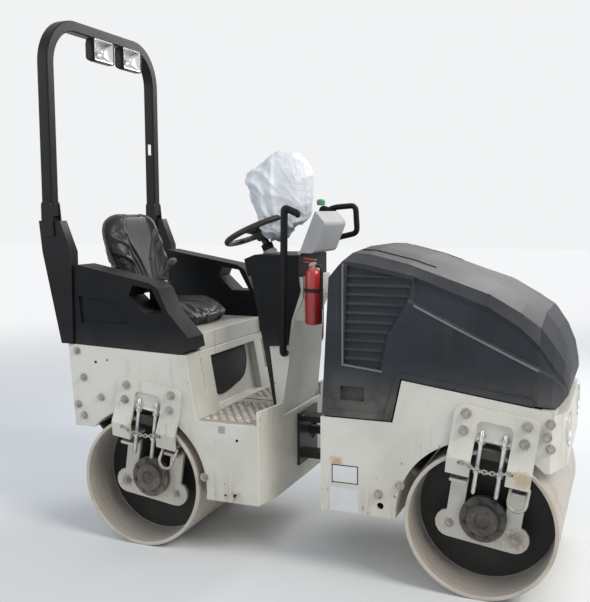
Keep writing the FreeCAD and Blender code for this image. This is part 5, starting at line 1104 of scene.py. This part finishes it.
def makeDriveLever():
    x, y, foot = leverFacts["ahead"], leverFacts["across"], leverFacts["foot"]
    plate = Solid(Matrix.Translation((x, y, foot)))
    plate.skin([[(a * 0.034 * scale, b * 0.029 * scale, lift) for a, b in
                 ((math.cos(math.tau * step / 28), math.sin(math.tau * step / 28)) for step in range(28))]
                for scale, lift in ((1.0, 0.0), (1.0, 0.004), (0.9, 0.007))])
    plate.finish("lever_plate", "greyPlastic", "rear_unit", "black_plastic")
    boot = Solid()
    boot.turned([(0.026, 0.006), (0.024, 0.012), (0.026, 0.016), (0.021, 0.021), (0.022, 0.025), (0.016, 0.031),
                 (0.013, 0.036)], (x + 0.004, y, foot), "Z", 24)
    stick = Solid(Matrix.Translation((x, y, foot)) @ Matrix.Rotation(math.radians(leverFacts["lean"]), 4, "Y"))
    stick.pipe([(0, 0, 0.020), (0, 0, 0.062), (0.002, 0, 0.092)], leverFacts["stem"], 14)
    stick.skin([[(0.004 + wide * math.cos(math.tau * step / 20) * 0.6, across,
                  0.108 + wide * math.sin(math.tau * step / 20)) for step in range(20)]
                for across, wide in ((-0.030, 0.008), (-0.028, 0.014), (-0.014, 0.0195), (0.0, 0.0215),
                                     (0.014, 0.0195), (0.028, 0.014), (0.030, 0.008))])
    thing = stick.finish("drive_lever_smooth", "gloveBlack", "rear_unit", slotOfNode["drive_lever"])
    boot.finish("lever_boot_smooth", "blackRubber", "rear_unit", "black_rubber")
    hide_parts("drive_lever")


makeDriveLever()
print("wheel and lever made")


# work lamps under the hoop: black cases, bright reflectors
lampSize = {"half": 0.0825, "high": 0.112, "deep": 0.066, "across": 0.119, "rear": -1.062, "top": 2.281,
            "wall": 0.007, "headAcross": 0.270, "headHigh": 0.655}


def roundedRing(half, low, high, corner, x, steps=5):
    points = []
    for cornerY, cornerZ, start in ((half - corner, high - corner, 0), (-half + corner, high - corner, 90),
                                    (-half + corner, low + corner, 180), (half - corner, low + corner, 270)):
        for step in range(steps + 1):
            angle = math.radians(start + 90 * step / steps)
            points.append((x, cornerY + corner * math.cos(angle), cornerZ + corner * math.sin(angle)))
    return points


def makeWorkLamps():
    cases, bowls, bulbs = Solid(), Solid(), Solid()
    rear, deep, top = lampSize["rear"], lampSize["deep"], lampSize["top"]
    low = top - lampSize["high"]
    for side in (1, -1):
        middle = side * lampSize["across"]

        def ring(inset, x, corner):
            shape = roundedRing(lampSize["half"] - inset, low + inset, top - inset, corner, x)
            return [(a, b + middle, c) for a, b, c in shape]
        front = rear + deep
        wall = lampSize["wall"]
        cases.skin([ring(0.030, rear + 0.001, 0.016), ring(0.012, rear + 0.010, 0.016),
                    ring(0.001, rear + 0.036, 0.014), ring(0.0, front - 0.010, 0.012),
                    ring(0.002, front, 0.012), ring(wall, front, 0.009),
                    ring(wall, front - 0.004, 0.009), ring(0.022, front - 0.030, 0.012),
                    ring(0.038, front - 0.046, 0.010)])
        bowls.skin([ring(0.042, front - 0.048, 0.010), ring(0.022, front - 0.0305, 0.012),
                    ring(wall + 0.0003, front - 0.0045, 0.009), ring(wall + 0.0003, front - 0.002, 0.009),
                    ring(wall + 0.004, front - 0.0024, 0.008), ring(0.020, front - 0.018, 0.012),
                    ring(0.032, front - 0.032, 0.012), ring(0.044, front - 0.038, 0.010)])
        bulbs.turned([(0.009, 0.020), (0.011, 0.026), (0.011, 0.044), (0.006, 0.052)],
                     (rear, middle, (low + top) / 2), "X", 16)
        cases.block((rear - 0.028, middle - 0.012, top - 0.012), (rear + 0.018, middle + 0.012, 2.2865))
        cases.turned([(0.011, -0.018), (0.011, 0.018)], (rear - 0.010, middle, top - 0.002), "Y", 12)
    thing = cases.finish("lamp_cases", "hoopPaint", "roll_hoop", slotOfNode["work_lamps"])
    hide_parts("work_lamps")
    bowls.finish("lamp_reflectors", "reflector", "roll_hoop", "bare_steel")
    bulbs.finish("lamp_bulbs", "bulbGlass", "roll_hoop", "bare_steel")


def makeHeadlamps():
    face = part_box("front_frame")[1].x
    bowls, rings = Solid(), Solid()
    for side in (1, -1):
        place = (face, side * lampSize["headAcross"], lampSize["headHigh"])
        rings.turned([(0.0715, -0.020), (0.0715, 0.002), (0.069, 0.005), (0.063, 0.004), (0.061, -0.004),
                      (0.061, -0.020)], place, "X", 48, "joined")
        bowls.turned([(0.061, -0.025), (0.0612, -0.005), (0.060, -0.0045), (0.052, -0.010), (0.036, -0.018),
                      (0.018, -0.023), (0.010, -0.0235), (0.009, -0.010), (0.003, -0.008)], place, "X", 48)
    rings.finish("headlamp_rings", "chrome", "front_unit", "bare_steel")
    bowls.finish("headlamp_lenses", "reflector", "front_unit", "bare_steel")


makeWorkLamps()
makeHeadlamps()
print("lamps made")


# extinguisher: bottle, valve, handle, gauge and hose
bottleFacts = {"place": (0.065, -0.158, 0.985), "radius": 0.038, "tall": 0.237}


def makeExtinguisher():
    x, y, z = bottleFacts["place"]
    radius, tall = bottleFacts["radius"], bottleFacts["tall"]
    bottle = Solid()
    bottle.turned([(radius * 0.7, 0.0), (radius * 0.94, 0.004), (radius, 0.012), (radius, tall - 0.018),
                   (radius * 0.92, tall - 0.004), (radius * 0.62, tall + 0.008), (radius * 0.36, tall + 0.013)],
                  (x, y, z), "Z", 36)
    thing = bottle.finish("extinguisher_bottle", "redPaint", "rear_unit", "red_paint")
    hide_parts("extinguisher")
    valve = Solid()
    valve.turned([(0.012, tall + 0.010), (0.012, tall + 0.030), (0.009, tall + 0.034)], (x, y, z), "Z", 18)
    valve.turned([(0.013, 0.0), (0.013, 0.010), (0.010, 0.012)], (x, y - 0.022, z + tall + 0.020), "Y", 20)
    grips = Solid()
    for lift, reach in ((0.030, 0.052), (0.044, 0.046)):
        grips.skin([[(x + a, y + b * 0.009, z + tall + lift + c * 0.003 + max(0.0, -a) * 0.14)
                     for b, c in ((-1, -1), (1, -1), (1, 1), (-1, 1))] for a in (0.010, -0.012, -reach)])
    valve.finish("extinguisher_valve", "dullZinc", "rear_unit", "bare_steel")
    grips.finish("extinguisher_grips", "redPaint", "rear_unit", "red_paint", bevel=0.0012)
    hose = Solid()
    hose.pipe([(x + 0.010, y, z + tall + 0.022), (x + 0.030, y - 0.004, z + tall + 0.018),
               (x + 0.0405, y - 0.010, z + tall - 0.006), (x + 0.0415, y - 0.014, z + tall - 0.060),
               (x + 0.0415, y - 0.014, z + 0.110), (x + 0.0405, y - 0.014, z + 0.070)], 0.0062, 12)
    hose.turned([(0.0415, -0.008), (0.0415, 0.008)], (x, y, z + 0.150), "Z", 36)
    hose.finish("extinguisher_hose", "blackRubber", "rear_unit", "black_rubber")


makeExtinguisher()


# hand rails: smooth tubes with a short return, a green cap on the far one
railFacts = {"radius": 0.016, "across": 0.234, "ahead": -0.039, "footAhead": -0.049, "foot": 0.862,
             "top": 1.490, "return": 0.062, "dip": 0.026, "bend": 0.034, "root": 0.2075}


def easedPath(points, reach, steps=6):
    points = [Vector(point) for point in points]
    path = [points[0]]
    for before, corner, after in zip(points, points[1:], points[2:]):
        first = corner + (before - corner).normalized() * reach
        last = corner + (after - corner).normalized() * reach
        for step in range(steps + 1):
            share = step / steps
            path.append(first.lerp(corner, share).lerp(corner.lerp(last, share), share))
    return path + [points[-1]]


def makeRails():
    rails = Solid()
    for side in (1, -1):
        y = side * railFacts["across"]
        root = side * railFacts["root"]
        top = Vector((railFacts["ahead"], y, railFacts["top"]))
        path = easedPath([(railFacts["footAhead"], root, railFacts["foot"]),
                          (railFacts["footAhead"], y, railFacts["foot"]), top,
                          top + Vector((railFacts["return"], 0, -railFacts["dip"]))], railFacts["bend"] * 0.5)
        rails.pipe(path, railFacts["radius"] * 0.98, 16)
        end = path[-1]
        rails.turned([(0.012, -0.004), (0.0175, 0.0), (0.0175, 0.010), (0.012, 0.014)],
                     (end.x - 0.006, end.y, end.z), "X", 20)
    # the far rail also has a closed loop that reaches ahead over the hood's edge
    y = railFacts["across"]
    rails.pipe(easedPath([(railFacts["ahead"], y, 1.462), (0.020, y, 1.492), (0.128, y, 1.500), (0.136, y, 1.372),
                          (0.020, y, 1.345), (railFacts["ahead"] - 0.004, y, 1.340)], 0.026), 0.0135, 14)
    thing = rails.finish("hand_rails_smooth", "hoopPaint", "rear_unit", slotOfNode["hand_rails"])
    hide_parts("hand_rails")
    cap = Solid()
    cap.turned([(0.014, 0.012), (0.020, 0.016), (0.020, 0.034), (0.014, 0.040), (0.004, 0.041)],
               (railFacts["ahead"] - 0.006, railFacts["across"], railFacts["top"]), "Z", 24)
    cap.finish("rail_cap", "greenPlastic", "rear_unit", "black_plastic")


makeRails()
print("column fittings made")


# small things on the panels: bare plates, black discs as painted shade in holes, and a hook
plateFace = -0.450
plateFacts = (
    # name, material, body, X range, Z range, thickness
    ("chart_plate", "plateFilm", "front_unit", (0.254, 0.356), (0.399, 0.465), 0.0012),
    ("chart_border", "consolePlastic", "front_unit", (0.250, 0.360), (0.395, 0.469), 0.0008),
    ("white_plate", "plateFilm", "front_unit", (0.242, 0.362), (0.279, 0.376), 0.0010),
    ("grey_plate", "greyPlastic", "rear_unit", (-0.257, -0.226), (0.546, 0.576), 0.0010),
)
# painted shade: black discs for small holes in the rear frame's side: X, Z, radius
holePlaces = ((-0.862, 0.812, 0.006), (-0.802, 0.824, 0.004), (-0.170, 0.521, 0.006),
              (-0.227, 0.279, 0.005), (-0.180, 0.281, 0.009))


def makePlates():
    for name, material, body, (left, right), (low, high), thick in plateFacts:
        plate = Solid()
        plate.block((left, plateFace - thick, low), (right, plateFace - 0.0002, high))
        plate.finish(name, material, body, "bare_steel")
    holeShade = Solid()
    for x, z, radius in holePlaces:
        holeShade.turned([(radius, 0.0), (radius, -0.0012)], (x, plateFace, z), "Y", 16)
    # black discs: painted shade in the holes
    holeShade.finish("panel_hole_shade", "deepBlack", "rear_unit", "black_paint")
    hoopPlates = Solid()
    hoopPlates.block((-1.0615, 0.350, 1.775), (-1.0605, 0.378, 1.830))
    hoopPlates.finish("hoop_plate", "plateFilm", "roll_hoop", "bare_steel")
    hook = Solid()
    hook.pipe(easedPath([(-0.195, -0.450, 0.292), (-0.195, -0.468, 0.285), (-0.180, -0.470, 0.262),
                         (-0.165, -0.468, 0.285), (-0.165, -0.450, 0.292)], 0.008), 0.004, 10)
    hook.finish("box_hook", "dullZinc", "rear_unit", "bare_steel")


makePlates()


# painted shadow of the steering column: a black sheet on the sunk front of the seat box; corners on the slope, then
# its thickness
shadowSheetFacts = {"outline": ((-0.442, -0.170, 0.892), (-0.441, -0.060, 0.890), (-0.439, -0.010, 0.877),
                        (-0.440, 0.060, 0.884), (-0.434, 0.150, 0.850), (-0.420, 0.172, 0.767),
                        (-0.407, 0.118, 0.686), (-0.399, 0.020, 0.660), (-0.394, -0.120, 0.640),
                        (-0.398, -0.195, 0.660), (-0.412, -0.205, 0.725), (-0.428, -0.175, 0.812)),
            "thick": 0.010, "facing": (1.0, 0.0, 0.18), "root": (-0.438, 0.0, 0.868)}


def makeShadowSheet():
    pad = Solid()
    outline = [Vector(point) for point in shadowSheetFacts["outline"]]
    normal = Vector(shadowSheetFacts["facing"]).normalized()
    plane = normal.dot(Vector(shadowSheetFacts["root"]))
    flat = [point + normal * (plane - normal.dot(point)) for point in outline]
    centre = sum(flat, Vector()) / len(flat)
    rings = []
    for shrink, lift in ((1.0, 0.0005), (1.0, 0.5), (0.95, 1.0)):
        ring = []
        for number in range(len(flat) * 4):
            base, share = number // 4, number % 4 / 4
            corners = [flat[(base + step) % len(flat)] for step in (-1, 0, 1, 2)]
            point = corners[1].lerp(corners[2], share)
            bulge = (corners[1] - corners[0] + corners[2] - corners[3]) * share * (1 - share) * 0.25
            ring.append(centre + (point + bulge - centre) * shrink + normal * shadowSheetFacts["thick"] * lift)
        rings.append(ring)
    pad.skin(rings)
    # black sheet as painted shadow
    pad.finish("seat_box_shadow_sheet", "blackRubber", "rear_unit", "black_rubber")


makeShadowSheet()


# hood trim: beads along the louvre and the crease, lighter in colour as a painted highlight, cast onto the hood's
# side, and two lines on top
hoodFacts = {"x": 0.837, "low": 0.664, "line": 0.0042, "topLine": 0.003,
             "crease": ((-0.262, 0.452), (-0.100, 0.372), (0.016, 0.317), (0.128, 0.263), (0.200, 0.228)),
             "louvre": ((-0.545, 0.606), (-0.545, 0.208), (-0.384, 0.190))}


def castOnHood(points, tree, side, lift):
    placed = []
    for x, z in points:
        hit = tree.ray_cast(Vector((x, side * 0.6, z)), Vector((0.0, -side, 0.0)))
        if hit[0] is not None:
            placed.append(hit[0] + Vector((0.0, side * lift, 0.0)))
    return placed


def denser(points, step=0.02):
    path = []
    for first, last in zip(points, points[1:]):
        count = max(1, int((Vector(last) - Vector(first)).length / step))
        path += [tuple(Vector(first).lerp(Vector(last), number / count)) for number in range(count)]
    return path + [points[-1]]


def makeHoodHighlightsAndLines():
    source = nodeObjects["hood"].data
    tree = BVHTree.FromPolygons([vertex.co for vertex in source.vertices],
                                [polygon.vertices[:] for polygon in source.polygons])
    lines = Solid()
    for side in (1, -1):
        for key in ("crease", "louvre"):
            flat = [(hoodFacts["x"] + ahead, hoodFacts["low"] + rise) for ahead, rise in hoodFacts[key]]
            path = castOnHood(denser(flat), tree, side, -0.001)
            if len(path) > 2:
                lines.pipe(path, hoodFacts["line"], 8)
    # the beads' lighter colour is a painted highlight
    lines.finish("hood_highlight_lines", "hoodHighlight", "hood_shell", "hood_plastic")
    rim = Solid()
    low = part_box("hood")[0]
    for side in (1, -1):
        along = [low.x + 0.12 + 0.30 * step / 16 for step in range(17)]
        path = []
        for x in along:
            share = (x - along[0]) / (along[-1] - along[0])
            hit = tree.ray_cast(Vector((x, side * (0.30 - 0.02 * share), 2.0)), Vector((0, 0, -1)))
            if hit[0] is not None:
                path.append(hit[0] + Vector((0, 0, 0.0005)))
        rim.pipe(path, hoodFacts["topLine"], 6)
    rim.finish("hood_top_lines", "deepBlack", "hood_shell", "hood_plastic")


makeHoodHighlightsAndLines()
print("hood lines made")


# the camera stands where the photographer did; lengths in metres, turns in degrees
cameraFacts = {"place": (1.336, -3.533, 1.470), "yaw": 21.926, "pitch": 6.046, "roll": -0.292,
               "focalPixels": 838.249, "frameHeight": 602, "sensor": 36.0}


def makeCamera():
    yaw, pitch, roll = (math.radians(cameraFacts[key]) for key in ("yaw", "pitch", "roll"))
    ahead = Vector((-math.sin(yaw) * math.cos(pitch), math.cos(yaw) * math.cos(pitch), -math.sin(pitch)))
    right = Vector((math.cos(yaw), math.sin(yaw), 0.0))
    up = right.cross(ahead)
    turnedRight = right * math.cos(roll) + up * math.sin(roll)
    turnedUp = up * math.cos(roll) - right * math.sin(roll)
    data = bpy.data.cameras.new("photoCamera")
    data.sensor_width = cameraFacts["sensor"]
    data.lens = cameraFacts["focalPixels"] * cameraFacts["sensor"] / cameraFacts["frameHeight"]
    camera = linked("photoCamera", data)
    turn = Matrix((turnedRight, turnedUp, -ahead)).transposed().to_4x4()
    camera.matrix_world = Matrix.Translation(cameraFacts["place"]) @ turn
    bpy.context.scene.camera = camera


lampFacts = {"key": {"place": (5.0, -2.2, 5.0), "size": 3.0, "power": 270.0, "colour": (1.0, 0.97, 0.92)},
             "fill": {"place": (-4.5, -3.5, 3.0), "size": 4.0, "power": 80.0, "colour": (0.92, 0.96, 1.0)},
             "rim": {"place": (1.5, 4.5, 4.2), "size": 3.0, "power": 160.0, "colour": (1.0, 1.0, 1.0)}}
aimHeight, floorHalf = 0.8, 30.0


def makeLights():
    for name, facts in lampFacts.items():
        data = bpy.data.lights.new(name + "Light", "AREA")
        data.shape = "DISK"
        data.size = facts["size"]
        data.energy = facts["power"]
        data.color = facts["colour"]
        lamp = linked(name + "Light", data)
        place = Vector(facts["place"])
        aim = (Vector((0.0, 0.0, aimHeight)) - place).to_track_quat("-Z", "Y").to_matrix().to_4x4()
        lamp.matrix_world = Matrix.Translation(place) @ aim
    world = bpy.data.worlds.new("paleWorld")
    bpy.context.scene.world = world
    world.use_nodes = True
    tree = world.node_tree
    background = tree.nodes["Background"]
    rays = addNode(tree, "LightPath").outputs
    seen = calc(tree, "MAXIMUM", rays["Is Camera Ray"], rays["Is Glossy Ray"])
    seen = calc(tree, "MAXIMUM", seen, rays["Is Transmission Ray"])
    feed(tree, background.inputs["Color"], mixColour(tree, seen, (0.80, 0.88, 1.0), (0.88, 0.89, 0.90)))
    feed(tree, background.inputs["Strength"], plus(tree, 0.62, times(tree, seen, 0.38)))


def makeFloor():
    data = bpy.data.meshes.new("floor")
    data.from_pydata([(x * floorHalf, y * floorHalf, 0) for x, y in ((-1, -1), (1, -1), (1, 1), (-1, 1))], [],
                     [(0, 1, 2, 3)])
    made, tree, shader, place = startMaterial("paleFloor")
    cloud = cloudAt(tree, place, 1.2, 5.0)
    away = addNode(tree, "VectorMath", {"operation": "LENGTH"})
    feed(tree, away.inputs[0], place)
    far = spread(tree, away.outputs["Value"], 2.6, 9.0)
    shader.inputs["Roughness"].default_value = 0.9
    shader.inputs["Specular IOR Level"].default_value = 0.1
    rays = addNode(tree, "LightPath").outputs
    seen = times(tree, far, calc(tree, "MAXIMUM", rays["Is Camera Ray"], rays["Is Glossy Ray"]))
    shader.inputs["Emission Color"].default_value = (0.88, 0.89, 0.90, 1.0)
    feed(tree, shader.inputs["Emission Strength"], seen)
    near = mixColour(tree, cloud, (0.70, 0.70, 0.69), (0.76, 0.76, 0.75))
    feed(tree, shader.inputs["Base Color"], mixColour(tree, seen, near, (0.0, 0.0, 0.0)))
    data.materials.append(made)
    linked("floor", data)


makeCamera()
makeLights()
makeFloor()
bpy.context.scene.view_settings.view_transform = "Standard"
print("camera, light and floor made")
